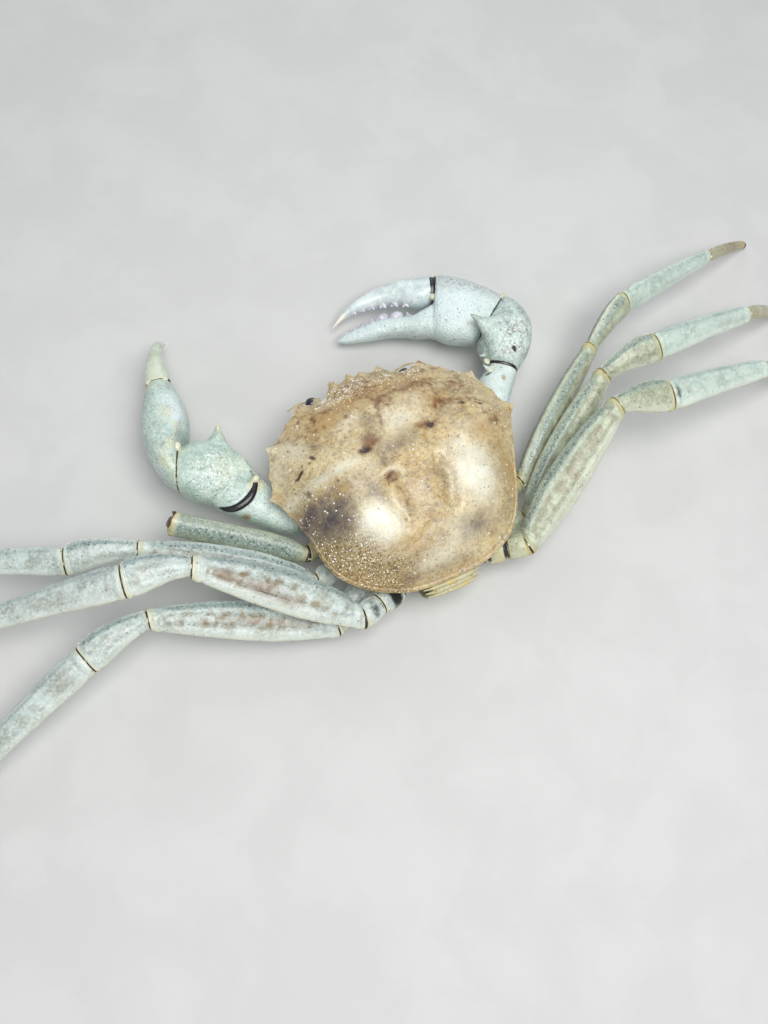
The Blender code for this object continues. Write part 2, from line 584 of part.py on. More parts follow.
# Chelipeds as rows of (rear or outer edge, front or inner edge, height of the middle, half thickness).
# The first and last rows of neighbouring segments are the shared joint faces. FINGER and FIXED rows of
# the right claw give the outer edge first. Teeth and spines are (middle, height, radius).
CLAWS = {
    "right": {
        "coxa": [((-42.5, 3), (-41.5, -14), 15, 7), ((-47, 3.4), (-44, -13), 15.6, 7.6),
                 ((-53, 3), (-46.5, -10.5), 16.3, 7.0), ((-58, 2), (-50, -9), 16.8, 6.3)],
        "merus": [((-58, 2), (-50, -9), 16.8, 6.5), ((-66, -3), (-56, -18), 18, 7.8),
                  ((-77.5, -12), (-64.5, -29), 20.5, 8.6), ((-88, -24), (-73, -39), 23.6, 8.8),
                  ((-93.6, -31), (-79, -43), 25.6, 8.6), ((-96.3, -34.6), (-82.7, -45.4), 26.6, 8.0)],
        "carpus": [((-96.3, -34.6), (-82.7, -45.4), 26.6, 8.2), ((-103.5, -39), (-81.6, -48.5), 27.2, 10.6),
                   ((-112.5, -47.4), (-81.2, -55.5), 28, 12.4), ((-117.6, -56.5), (-82.2, -59.6), 28.2, 13),
                   ((-119.4, -66.5), (-85.4, -62.8), 28, 12.4), ((-117.6, -77), (-87.6, -65), 27, 11.2),
                   ((-112.8, -84.4), (-88.6, -66.6), 26, 9.6)],
        "palm": [((-112.8, -84.4), (-88.6, -66.6), 26, 9.6), ((-107, -93.5), (-85.2, -65.8), 25, 11.2),
                 ((-100, -102.4), (-82.4, -65), 23.4, 12.8), ((-91, -110.4), (-75.6, -67.8), 21.8, 13.5),
                 ((-85.6, -114.8), (-68, -72.6), 20.4, 13), ((-81, -118), (-61.5, -80.8), 19.2, 11.2)],
        "fixed": [((-76, -100), (-68, -76), 19.8, 9.5), ((-63.8, -98.4), (-58.4, -82.2), 18, 9),
                  ((-58.6, -97.8), (-54.6, -83.8), 17, 8.5), ((-49, -101), (-46.7, -88.9), 15.5, 7.6),
                  ((-40, -104), (-37.6, -92.6), 14, 6.6), ((-31, -105.4), (-28, -95.3), 12.5, 5.4),
                  ((-22, -106), (-19.2, -97.9), 11, 4), ((-14, -106), (-12, -100.8), 9.5, 2.6),
                  ((-8.4, -105), (-7.6, -103.6), 8.4, 0.8)],
        "finger": [((-81, -118), (-72.9, -102.6), 20, 8.6), ((-75.6, -119.6), (-67.4, -101.6), 19.4, 9),
                   ((-67.7, -122.4), (-61, -103.6), 18.4, 8.4), ((-58, -125), (-55.6, -108.4), 17, 7.6),
                   ((-48, -126), (-47.4, -112.6), 15.6, 6.8), ((-37, -125.6), (-36.4, -115.6), 14, 5.6),
                   ((-27, -123.6), (-27.4, -117), 12.4, 4.2), ((-19.3, -121), (-20.6, -116.8), 11, 2.8),
                   ((-13.4, -117.6), (-14.8, -115.4), 10, 1.7), ((-9, -114.4), (-9.8, -113.6), 9, 0.6)],
        "fixed_teeth": [((-54.6, -99.2), 17, 2.7), ((-47.4, -102), 16, 3.9), ((-39.6, -105.2), 14.4, 3.2),
                        ((-32.6, -106), 13, 2.5), ((-26.4, -106.4), 12, 2.1), ((-20.4, -106.4), 11, 1.8),
                        ((-15, -106), 10, 1.5)],
        "finger_teeth": [((-57, -107.4), 17.4, 1.7), ((-51, -111), 16.4, 2.1), ((-44, -113.4), 15.2, 2),
                         ((-37, -115.4), 14.2, 1.8), ((-31, -116.4), 13.2, 1.5), ((-25.4, -117), 12.2, 1.3)],
        "spines": [((-92.5, -61, 35.5), (-79.4, -73.9, 43.5), 6.2), ((-84.6, -50, 30), (-76.6, -51.6, 32.4), 2.6),
                   ((-79.5, -41, 31), (-75.4, -44.4, 35), 2.4)],
    },
    "left": {
        "coxa": [((42.5, 3), (41.5, -14), 15, 7), ((47, 4.2), (44, -12.6), 15.5, 7.6),
                 ((53, 5.2), (46.6, -9.4), 16, 7.0), ((58.5, 5.5), (50.5, -6.5), 16.5, 6.3)],
        "merus": [((58.5, 5.5), (50.5, -6.5), 16.5, 6.5), ((68, 5), (59, -13), 17.6, 8.2),
                  ((82, -5), (67.5, -23.5), 20.6, 9.4), ((95, -15.6), (72.5, -29.6), 24, 10.3),
                  ((100.5, -20.6), (74.2, -30.6), 25.4, 10.8), ((104.6, -25.4), (77.4, -32.2), 27, 10.4)],
        "carpus": [((104.6, -25.4), (77.4, -32.2), 27, 10.6), ((110.5, -29.6), (79, -42), 28.2, 13),
                   ((114.6, -34), (84.4, -54), 29, 14.2), ((116.8, -37), (96.4, -61.4), 29.2, 14.4),
                   ((118.2, -39.6), (108.8, -62.2), 29, 13.4)],
        "palm": [((118.2, -39.6), (108.8, -62.2), 29, 13.6), ((124, -50), (106.4, -66.4), 29, 16),
                 ((126.6, -62), (101.4, -70.6), 28.6, 17.2), ((125.6, -76), (98, -78), 28, 17.6),
                 ((121.4, -90), (97, -88.6), 27.4, 16.8), ((113.4, -104.6), (98.8, -102.7), 26.6, 14.6)],
        "fixed": [((115, -99), (101, -97.4), 19.4, 8), ((110.8, -108.6), (100, -107.2), 18, 6.4),
                  ((107, -119), (98.6, -117.6), 14.4, 5.2), ((103, -127.6), (96.8, -126), 10.6, 3.8),
                  ((98.8, -134), (94.8, -132.2), 7, 2.4), ((94, -138), (92.6, -137.2), 4.4, 0.8)],
        "finger": [((113.4, -104.6), (98.8, -102.7), 34, 6.6), ((111, -112), (98.2, -110.4), 33, 6.6),
                   ((107.4, -120.6), (97.8, -119.4), 30, 5.8), ((103.4, -129), (96.6, -127.4), 25.4, 4.8),
                   ((100, -135.6), (95, -133.6), 20, 3.6), ((96.4, -140), (93.4, -138.4), 14, 2.3),
                   ((92.4, -142), (91.4, -141.4), 8.4, 0.7)],
        "fixed_teeth": [((105, -112.5), 23.2, 2.4), ((103, -119), 18.8, 2.2), ((100.6, -125), 14.8, 1.8)],
        "finger_teeth": [((104.6, -114), 27.4, 1.8), ((102.2, -121.4), 25, 1.7), ((99.8, -128), 21.6, 1.5)],
        "spines": [((93, -51, 32), (84, -65, 41), 8.4), ((82.5, -38, 30), (76.4, -42.4, 33), 2.6),
                   ((76.4, -27.2, 32), (72.2, -30.8, 35.6), 2.2)],
    },
}


def edge_loft(name, rows, joints, group, slot=None, power=2.4, count=14):
    """Skin through rows of edge pairs; joints tells which ends are upright joint faces."""
    middles = [Vector(((a[0] + b[0]) / 2, (a[1] + b[1]) / 2, z)) for a, b, z, half in rows]
    last = len(rows) - 1
    rings = []
    for k, (a, b, z, half) in enumerate(rows):
        broad = Vector((a[0] - b[0], a[1] - b[1], 0))
        reach = broad.length / 2
        broad.normalize()
        heading = middles[min(k + 1, last)] - middles[max(k - 1, 0)]
        upright = (k == 0 and joints[0]) or (k == last and joints[1])
        if upright:
            heading.z = 0
        heading = (heading - broad * heading.dot(broad)).normalized()
        through = broad.cross(heading)
        middle = middles[k]
        if upright:
            middle = middle + heading * (GAP / 2 if k == 0 else -GAP / 2)
        rings.append(ring(middle, broad, through, (reach, reach, half, half), power, count))
    return skin(name, rings, group, slot)


def make_cheliped(side_name, group, cutters, slots):
    """Coxa, merus, carpus, palm with the fixed finger, and the movable finger of one claw."""
    rows = CLAWS[side_name]
    tag = "claw_%s_" % side_name
    edge_loft(tag + "coxa", rows["coxa"], (True, True), group, slots["claw"])
    arm = edge_loft(tag + "merus", rows["merus"], (True, True), group, slots["claw"])
    wrist = edge_loft(tag + "carpus", rows["carpus"], (True, True), group, slots["claw"], 2.7)
    big, small, arm_spine = rows["spines"]
    combine(wrist, [cone("spine", big[0], big[1], big[2], cutters, 0.3, 12),
                    cone("spine", small[0], small[1], small[2], cutters)], "UNION")
    combine(arm, [cone("spine", arm_spine[0], arm_spine[1], arm_spine[2], cutters)], "UNION")
    palm = edge_loft(tag + "palm", rows["palm"], (True, True), group, slots["claw"])
    extras = [edge_loft("fixed_finger", rows["fixed"], (False, False), cutters)]
    for (x, y), z, radius in rows["fixed_teeth"]:
        extras.append(ball("molar", (x, y, z), (radius, radius, radius), cutters))
    combine(palm, extras, "UNION")
    finger = edge_loft(tag + "finger", rows["finger"], (True, False), group, slots["finger"])
    teeth = []
    for (x, y), z, radius in rows["finger_teeth"]:
        teeth.append(ball("tooth", (x, y, z), (radius, radius, radius), cutters))
    combine(finger, teeth, "UNION")


def limb_seats():
    """Flat seats on the thorax: joint point, heading out, socket radius."""
    seats = []
    for number, side_name in POSE:
        side, points, headings, normals = leg_frame(number, side_name)
        seats.append((points[0], normals[0], 8.6))
    for side in (-1, 1):
        coxa = Vector((side * 45, 12, 14))
        root = Vector((side * 66, 20, 21.5)) if side > 0 else Vector((side * 62, 17, 19))
        seats.append((coxa, (root - coxa).normalized(), 8.0))
    for side in (-1, 1):
        seats.append((Vector((side * 42, -5.5, 15)), Vector((side * 17, -1, 0)).normalized(), 10.4))
        seats.append((Vector((side * 18.6, -56.2, 24.4)), Vector((side * 1.0, -2.2, -0.2)).normalized(), 2.9))
        seats.append((Vector((side * 7, -57.6, 24.8)), Vector((0, -2, 0.2)).normalized(), 2.4))
    return seats


def main():
    clear_scene()
    group = collection("crystal_crab")
    cutters = collection("cutters", hidden=True)
    shell = material("carapace_shell", (0.62, 0.50, 0.30), 0.35)
    under = material("breast_shell", (0.66, 0.60, 0.46), 0.45)
    slots = {
        "claw": material("claw_shell", (0.62, 0.68, 0.58), 0.38),
        "finger": material("finger_shell", (0.68, 0.70, 0.64), 0.35),
        "leg": material("leg_shell", (0.50, 0.56, 0.50), 0.42),
        "tip": material("leg_tip_shell", (0.52, 0.50, 0.36), 0.42),
    }
    eye = material("eye_cornea", (0.05, 0.04, 0.03), 0.15)
    feeler = material("feeler_shell", (0.55, 0.48, 0.33), 0.45)
    mouth = material("mouthpart_shell", (0.60, 0.54, 0.40), 0.45)
    make_carapace(group, cutters, shell)
    make_thorax(group, cutters, under, limb_seats())
    belly_strip("abdomen", 0.0, group, under)
    for side_name, side in (("left", 1), ("right", -1)):
        make_eye("eye_" + side_name, side, group, cutters, eye)
        make_antenna("antenna_" + side_name, side, group, cutters, feeler)
        make_antennule("antennule_" + side_name, side, group, cutters, feeler)
        make_maxilliped("maxilliped_" + side_name, side, group, cutters, mouth)
        make_cheliped(side_name, group, cutters, slots)
    make_stumps(group, cutters, slots)
    for number, side_name in POSE:
        make_leg(number, side_name, group, cutters, slots)
    for thing in group.objects:
        if not thing.data.materials:
            thing.data.materials.append(slots["leg"])
        bpy.context.view_layer.objects.active = thing
    for thing in list(cutters.objects):
        bpy.data.objects.remove(thing, do_unlink=True)


main()
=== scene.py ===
# %% [markdown]
# # Crystal crab, a life-size still model
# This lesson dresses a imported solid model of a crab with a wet, stained shell. The solids give the places
# and the sizes; every piece below is a finer shell that stands for one solid. The frame is in metres: +Z is
# up, the face looks along -Y and the crab's left side is +X. Lengths are written in millimetres.

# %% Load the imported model
import math

import bmesh
import bpy
import numpy as np
from mathutils import Matrix, Vector, noise


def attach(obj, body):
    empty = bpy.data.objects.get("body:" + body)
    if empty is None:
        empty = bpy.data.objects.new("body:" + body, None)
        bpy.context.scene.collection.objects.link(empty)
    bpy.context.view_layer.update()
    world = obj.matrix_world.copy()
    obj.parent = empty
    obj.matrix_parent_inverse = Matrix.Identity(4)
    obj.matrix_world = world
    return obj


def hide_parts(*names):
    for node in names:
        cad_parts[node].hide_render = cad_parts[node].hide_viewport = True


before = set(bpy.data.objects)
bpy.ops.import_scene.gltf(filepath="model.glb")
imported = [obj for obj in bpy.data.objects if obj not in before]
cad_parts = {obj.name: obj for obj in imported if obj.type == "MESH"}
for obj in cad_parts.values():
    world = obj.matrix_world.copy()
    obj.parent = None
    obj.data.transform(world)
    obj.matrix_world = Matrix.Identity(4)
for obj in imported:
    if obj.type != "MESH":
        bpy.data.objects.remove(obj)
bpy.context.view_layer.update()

MM = 0.001

# %% [markdown]
# ## Camera
# The picture was taken by hand from above and a little behind the left flank. The camera's place and turn
# were solved from the points of the shell that are known from the solids. The lens is the plain wide lens of
# a phone, so it keeps its slight stretch towards the leg tips.

# %% Camera
LENS_MM, SENSOR_MM = 29.18, 36.0
CAMERA_PLACE = Matrix((
    (-0.90271, -0.37148, 0.21706, 0.11965),
    (0.41957, -0.87176, 0.25297, 0.13526),
    (0.09525, 0.31943, 0.94281, 0.47276),
    (0, 0, 0, 1)))


def put(name, data):
    """A new object in the scene."""
    thing = bpy.data.objects.new(name, data)
    bpy.context.scene.collection.objects.link(thing)
    return thing


camera = put("camera", bpy.data.cameras.new("camera"))
camera.data.sensor_width = SENSOR_MM
camera.data.lens = LENS_MM
camera.data.clip_start = 0.01
camera.matrix_world = CAMERA_PLACE
bpy.context.scene.camera = camera
print("camera height above the floor, mm:", round(CAMERA_PLACE.translation.z / MM))

# %% [markdown]
# ## Nodes by hand
# Materials and Geometry Nodes are both trees of nodes. A short helper places a node, sets its options and
# feeds each input from a socket or a plain value, so that a tree reads like a list of steps.


# %% Helpers for node trees
def add(tree, kind, inputs=(), **settings):
    """Place a node, set its options, and feed its inputs from sockets or plain values."""
    item = tree.nodes.new(kind)
    for key, value in settings.items():
        setattr(item, key, value)
    for key, value in dict(inputs).items():
        if isinstance(value, bpy.types.NodeSocket):
            tree.links.new(value, item.inputs[key])
        else:
            item.inputs[key].default_value = value
    return item


def maths(tree, operation, a, b=0.5, clamp=False):
    """One step of arithmetic on two sockets or values."""
    return add(tree, "ShaderNodeMath", {0: a, 1: b}, operation=operation, use_clamp=clamp).outputs[0]


def blend(tree, factor, a, b):
    """Mix two colours by a mask."""
    return add(tree, "ShaderNodeMix", {0: factor, 6: a, 7: b}, data_type="RGBA").outputs[2]


def ramp(tree, value, low, high, to_low=0.0, to_high=1.0):
    """Turn the range low..high of a value into a soft mask."""
    ends = {"Value": value, "From Min": low, "From Max": high, "To Min": to_low, "To Max": to_high}
    return add(tree, "ShaderNodeMapRange", ends, interpolation_type="SMOOTHSTEP").outputs["Result"]


def group(name, inputs, outputs, kind="ShaderNodeTree"):
    """An empty node group with named sockets: (label, kind, default) in, (label, kind) out."""
    tree = bpy.data.node_groups.new(name, kind)
    for label, form, value in inputs:
        socket = tree.interface.new_socket(label, in_out="INPUT", socket_type=form)
        if value is not None:
            socket.default_value = value
    for label, form in outputs:
        tree.interface.new_socket(label, in_out="OUTPUT", socket_type=form)
    return tree, tree.nodes.new("NodeGroupInput").outputs, tree.nodes.new("NodeGroupOutput")


def numbers(**values):
    """Number inputs of a group with their defaults."""
    return [(label.replace("_", " "), NUMBER, value) for label, value in values.items()]


def effect(tree, shared, **values):
    """Place a shared effect with its own values, and return its outputs."""
    inputs = {label.replace("_", " "): value for label, value in values.items()}
    return add(tree, "ShaderNodeGroup", inputs, node_tree=shared).outputs


def rgb(red, green, bluish_white_and_highlight):
    """A paint mixed on screen in 0..255, as the linear colour that the shader wants."""
    parts = [v / 255 for v in (red, green, bluish_white_and_highlight)]
    return tuple(v / 12.92 if v <= 0.04045 else ((v + 0.055) / 1.055) ** 2.4 for v in parts) + (1.0,)


NUMBER, PAINT, SHAPE = "NodeSocketFloat", "NodeSocketColor", "NodeSocketGeometry"
WHOLE, FINISH = "NodeSocketInt", "NodeSocketMaterial"

# %% [markdown]
# ## Effects that several finishes share
# A crab's shell is never one colour. Pigment lies in clouds, small pores show as dots, and the surface has
# fine wrinkles, pits and low grains. Each of these is built once as a group that puts out a mask or a height,
# and each finish places it with its own sizes. All patterns read Object coordinates, which are real metres,
# so a size in millimetres means what it says on every piece.

# %% Clouds of pigment
clouds, ins, outs = group("pigment_clouds", numbers(Size=10.0, Detail=4.0, Low=0.4, High=0.62), [("Mask", NUMBER)])
spot = add(clouds, "ShaderNodeTexCoord").outputs["Object"]
scale = maths(clouds, "DIVIDE", 1000.0, ins["Size"])
cloud = add(clouds, "ShaderNodeTexNoise", {"Vector": spot, "Scale": scale, "Detail": ins["Detail"],
                                           "Roughness": 0.6, "Distortion": 0.35})
clouds.links.new(ramp(clouds, cloud.outputs[0], ins["Low"], ins["High"]), outs.inputs["Mask"])

# %% Pores and specks
specks, ins, outs = group("specks", numbers(Size=3.0, Fill=0.3, Share=0.5), [("Mask", NUMBER)])
spot = add(specks, "ShaderNodeTexCoord").outputs["Object"]
scale = maths(specks, "DIVIDE", 1000.0, ins["Size"])
cells = add(specks, "ShaderNodeTexVoronoi", {"Vector": spot, "Scale": scale})
lot = add(specks, "ShaderNodeSeparateColor", {0: cells.outputs["Color"]})
near = maths(specks, "MULTIPLY", ins["Fill"], maths(specks, "ADD", lot.outputs[1], 0.25))
dot = ramp(specks, cells.outputs["Distance"], near, maths(specks, "MULTIPLY", near, 0.45))
chosen = maths(specks, "LESS_THAN", lot.outputs[0], ins["Share"])
specks.links.new(maths(specks, "MULTIPLY", dot, chosen), outs.inputs["Mask"])

# %% Wrinkles, pits and grains
grain, ins, outs = group("shell_grain", numbers(Wrinkle=0.4, Pit=0.4, Grain=0.4, Grain_size=1.4), [("Height", NUMBER)])
spot = add(grain, "ShaderNodeTexCoord").outputs["Object"]
fold = add(grain, "ShaderNodeTexNoise", {"Vector": spot, "Scale": 420.0, "Detail": 5.0, "Roughness": 0.62})
pit = add(grain, "ShaderNodeTexVoronoi", {"Vector": spot, "Scale": 620.0})
hollow = ramp(grain, pit.outputs["Distance"], 0.0, 0.34, -1.0, 0.0)
scale = maths(grain, "DIVIDE", 1000.0, ins["Grain size"])
bead = add(grain, "ShaderNodeTexVoronoi", {"Vector": spot, "Smoothness": 0.35, "Scale": scale}, feature="SMOOTH_F1")
dome = ramp(grain, bead.outputs["Distance"], 0.75, 0.1)
height = maths(grain, "MULTIPLY", fold.outputs[0], ins["Wrinkle"])
height = maths(grain, "ADD", height, maths(grain, "MULTIPLY", hollow, ins["Pit"]))
height = maths(grain, "ADD", height, maths(grain, "MULTIPLY", dome, ins["Grain"]))
grain.links.new(height, outs.inputs["Height"])

# %% [markdown]
# ## Painted tints
# Where a colour belongs to one place, such as a rusty patch on a thigh or the dark line at a joint, a smooth
# mask alone would look airbrushed. The place is stored on the mesh as a colour attribute called "tints": red
# for ochre joints and margins, green for rust, blue for near-black. This group breaks the edges of those
# masks with fine noise before it lays the paints over the base.

# %% Tints laid over a base colour
tinted, ins, outs = group("painted_tints", [("Base", PAINT, (0.5, 0.5, 0.5, 1)), ("Ochre", PAINT, (0.5, 0.4, 0.1, 1)),
                                            ("Rust", PAINT, (0.3, 0.15, 0.05, 1)),
                                            ("Dark", PAINT, (0.02, 0.02, 0.02, 1)), ("Break", NUMBER, 0.55)],
                          [("Colour", PAINT), ("Dark mask", NUMBER)])
spot = add(tinted, "ShaderNodeTexCoord").outputs["Object"]
coarse = add(tinted, "ShaderNodeTexNoise", {"Vector": spot, "Scale": 260.0, "Detail": 6.0, "Roughness": 0.66,
                                            "Distortion": 0.5}).outputs[0]
shift = maths(tinted, "MULTIPLY", maths(tinted, "SUBTRACT", coarse, 0.5), ins["Break"])


def masks_in(tree, attribute):
    """The three masks that a colour attribute of the mesh holds."""
    held = add(tree, "ShaderNodeAttribute", attribute_name=attribute)
    return add(tree, "ShaderNodeSeparateColor", {0: held.outputs["Color"]}).outputs


def broken(place, low, high):
    """A painted place whose edge wanders with the noise but which stays empty where nothing is painted."""
    wander = maths(tinted, "MULTIPLY", shift, maths(tinted, "MULTIPLY", place, 4.0, True))
    return ramp(tinted, maths(tinted, "ADD", place, wander), low, high)


places = masks_in(tinted, "tints")
colour = blend(tinted, broken(places[0], 0.1, 0.9), ins["Base"], ins["Ochre"])
colour = blend(tinted, broken(places[1], 0.12, 0.95), colour, ins["Rust"])
dark = broken(places[2], 0.2, 0.62)
tinted.links.new(blend(tinted, dark, colour, ins["Dark"]), outs.inputs["Colour"])
tinted.links.new(dark, outs.inputs["Dark mask"])
print("shared effects:", [g.name for g in bpy.data.node_groups])


# %% [markdown]
# ## One recipe for shell
# All hard parts of the crab are the same stuff in different colours: a translucent, slightly wet crust. The
# recipe lays two clouds of pigment, the painted tints, pores and fine specks, and gives a height for the
# bump. The Principled shader, its coat of water and every constant stay in the material itself.

# %% Shell recipe
def shell(name, paints, cloud_size=16.0, fine_size=2.6, rough=(0.3, 0.5), coat=0.35, pores=0.35, pore_paint=None,
          relief=(0.4, 0.4, 0.35, 1.4), depth=0.22, skin_glow=0.06, extra=None):
    """A finished shell material. The paints are base, clouds, fine clouds, ochre, rust and dark; relief is
    wrinkle, pit, grain and grain size; depth is in millimetres."""
    base, cloud_paint, fine_paint, ochre, rust, dark = (rgb(*tone) for tone in paints)
    made = bpy.data.materials.new(name)
    made.use_nodes = True
    tree = made.node_tree
    shader = tree.nodes["Principled BSDF"]
    big = effect(tree, clouds, Size=cloud_size)["Mask"]
    small = effect(tree, clouds, Size=fine_size, Detail=6.0, Low=0.38, High=0.72)["Mask"]
    paint = blend(tree, big, base, cloud_paint)
    paint = blend(tree, maths(tree, "MULTIPLY", small, 0.75), paint, fine_paint)
    if extra:
        paint = extra(tree, paint)
    laid = effect(tree, tinted, Base=paint, Ochre=ochre, Rust=rust, Dark=dark)
    pore = effect(tree, specks, Size=2.2, Share=0.42)["Mask"]
    pore_tone = rgb(*pore_paint) if pore_paint else dark
    paint = blend(tree, maths(tree, "MULTIPLY", pore, pores), laid["Colour"], pore_tone)
    tree.links.new(paint, shader.inputs["Base Color"])
    sheen = maths(tree, "MULTIPLY", maths(tree, "ADD", small, laid["Dark mask"]), 0.5)
    tree.links.new(ramp(tree, sheen, 0.0, 1.0, *rough), shader.inputs["Roughness"])
    wrinkle, pit, grains, grain_size = relief
    height = effect(tree, grain, Wrinkle=wrinkle, Pit=pit, Grain=grains, Grain_size=grain_size)["Height"]
    bump = add(tree, "ShaderNodeBump", {"Height": height, "Strength": 0.85, "Distance": depth * MM})
    tree.links.new(bump.outputs["Normal"], shader.inputs["Normal"])
    shader.inputs["Coat Weight"].default_value = coat
    shader.inputs["Coat Roughness"].default_value = 0.3
    shader.inputs["Subsurface Weight"].default_value = skin_glow
    shader.inputs["Subsurface Radius"].default_value = (1.0, 0.7, 0.4)
    shader.inputs["Subsurface Scale"].default_value = 0.002
    return made


def lay(tree, paint, mask, weight, tone):
    """Lay a tone over a paint where a mask allows; the weight is a number or a second mask."""
    return blend(tree, maths(tree, "MULTIPLY", mask, weight), paint, rgb(*tone))


# %% [markdown]
# ## The carapace's own marks
# The shield carries more than the shared tints: grey-violet bruises where the gills lie close under the shell,
# with a little painted shade beside the side ridge, golden-brown sand grains dried on at the rear corner, and
# bleached cream on the swellings, which also stands for the painted highlights on the two gill swellings. A
# second attribute, "patches", holds those three places, and this function paints them before the tints.

# %% Bruises with a little painted shade, dried sand, and bleached swellings with painted highlights
def shield_marks(tree, paint):
    """Mottling and dark dots everywhere; patches hold bruises with some painted shade, dried sand, and bleached
    swellings that also carry painted highlights.
    """
    bruise_and_shade, sand, bleached_and_highlight_mask = masks_in(tree, "patches")
    mist = effect(tree, clouds, Size=7.0, Detail=7.0, Low=0.3, High=0.7)["Mask"]
    for size, low, high, weight, tone in ((1.8, 0.5, 0.62, 0.46, (138, 104, 66)), (5.0, 0.5, 0.64, 0.4, (154, 120, 76)),
                                          (3.4, 0.5, 0.64, 0.42, (150, 138, 134)),
                                          (9.0, 0.5, 0.62, 0.35, (232, 212, 156))):
        mottle = effect(tree, clouds, Size=size, Detail=8.0, Low=low, High=high)["Mask"]
        paint = lay(tree, paint, mottle, weight, tone)
    paint = lay(tree, paint, effect(tree, specks, Size=1.7, Fill=0.34, Share=0.4)["Mask"], 0.6, (92, 64, 40))
    # Bleached cream, which on the gill swellings is a painted highlight.
    paint = lay(tree, paint, bleached_and_highlight_mask, ramp(tree, mist, 0.0, 1.0, 0.7, 1.0), (238, 238, 222))
    paint = lay(tree, paint, sand, 0.7, (140, 118, 70))
    # Grey-violet bruises, and beside the side ridge painted shade.
    paint = lay(tree, paint, bruise_and_shade, ramp(tree, mist, 0.0, 1.0, 1.0, 0.72), (78, 70, 76))
    for size, share, tone in ((1.1, 0.55, (96, 72, 34)), (0.8, 0.5, (66, 50, 32)), (0.9, 0.25, (250, 244, 216))):
        grains = effect(tree, specks, Size=size, Fill=0.62, Share=share)["Mask"]
        paint = lay(tree, paint, grains, sand, tone)
    return paint


# %% [markdown]
# ## Marks of the claws and the legs
# The claws are crusted with cream lime, and the broad faces of the legs are worn and dashed with dark bristle
# bases. Both kinds of mark read the same attribute as the shield, with other meanings for its three masks, so
# one attribute serves every finish.

# %% Crusty cream over pale green, for the claws
def claw_crust(tree, paint):
    """Cream crust in small clouds; patches hold violet-grey speckle, knobbly crust and bluish white, which on
    the right palm and the left arm's top is partly a painted highlight.
    """
    masks = masks_in(tree, "patches")
    crust = effect(tree, clouds, Size=2.8, Detail=8.0, Low=0.42, High=0.62)["Mask"]
    paint = lay(tree, paint, crust, 0.5, (206, 220, 210))
    # Bluish white, partly a painted highlight on the left arm's top and on the right palm.
    paint = lay(tree, paint, masks[2], 0.85, (234, 246, 250))
    paint = lay(tree, paint, masks[0], 0.4, (158, 160, 158))
    for size, fill, share, tone, channel, weight in ((1.3, 0.8, 0.7, (238, 244, 240), 1, 0.8),
                                                     (1.9, 0.55, 0.4, (138, 156, 150), 1, 0.75),
                                                     (1.2, 0.7, 0.55, (136, 130, 136), 0, 0.8),
                                                     (2.4, 0.6, 0.4, (108, 102, 104), 0, 0.6)):
        knobs = effect(tree, specks, Size=size, Fill=fill, Share=share)["Mask"]
        paint = lay(tree, paint, knobs, maths(tree, "MULTIPLY", masks[channel], weight), tone)
    return paint


# %% Grey-green strip with fine dark dashes, and a worn brown groove, for the legs
def leg_dashes(tree, paint):
    """Patches hold the dashed strip, the worn groove and the cream crest."""
    strip, groove, crest = masks_in(tree, "patches")
    wear = effect(tree, clouds, Size=6.0, Detail=8.0, Low=0.42, High=0.66)["Mask"]
    paint = lay(tree, paint, wear, groove, (134, 120, 90))
    paint = lay(tree, paint, strip, 0.7, (126, 148, 146))
    for size, share, tone in ((1.4, 0.65, (66, 76, 74)), (1.1, 0.55, (200, 212, 200))):
        dash = effect(tree, specks, Size=size, Fill=0.6, Share=share)["Mask"]
        paint = lay(tree, paint, dash, maths(tree, "MULTIPLY", strip, 0.8), tone)
    return blend(tree, crest, paint, rgb(230, 234, 220))


# %% [markdown]
# ## The finishes
# Each finish is one call of the recipe: six paints from 0 to 255 and the sizes and strengths that differ from
# the usual ones. The paints were compared with the picture, place by place. They are kept paler than wet shell
# looks in the hand, because the coat of water adds its own light.

# %% Finishes of the shield and the breast
INK = (24, 22, 26)
carapace_shell = shell("carapace_shell_wet", [(214, 196, 150), (196, 168, 114), (228, 216, 178), (184, 144, 80),
                                              (124, 82, 44), (70, 50, 44)],
                       cloud_size=20.0, fine_size=2.8, rough=(0.34, 0.5), coat=0.42, pores=0.6,
                       pore_paint=(84, 62, 42), relief=(0.55, 0.55, 0.45, 0.8), skin_glow=0.02, extra=shield_marks)
breast_shell = shell("breast_shell_satin", [(196, 194, 160), (172, 174, 142), (214, 212, 184), (204, 182, 112),
                                            (132, 102, 66), (34, 34, 40)], rough=(0.34, 0.52), coat=0.25)
grit = shell("dried_salt_specks", [(248, 248, 246), (236, 236, 232), (254, 254, 254), (230, 214, 160),
                                   (160, 130, 80), INK], cloud_size=3.0, coat=0.2, pores=0.0)

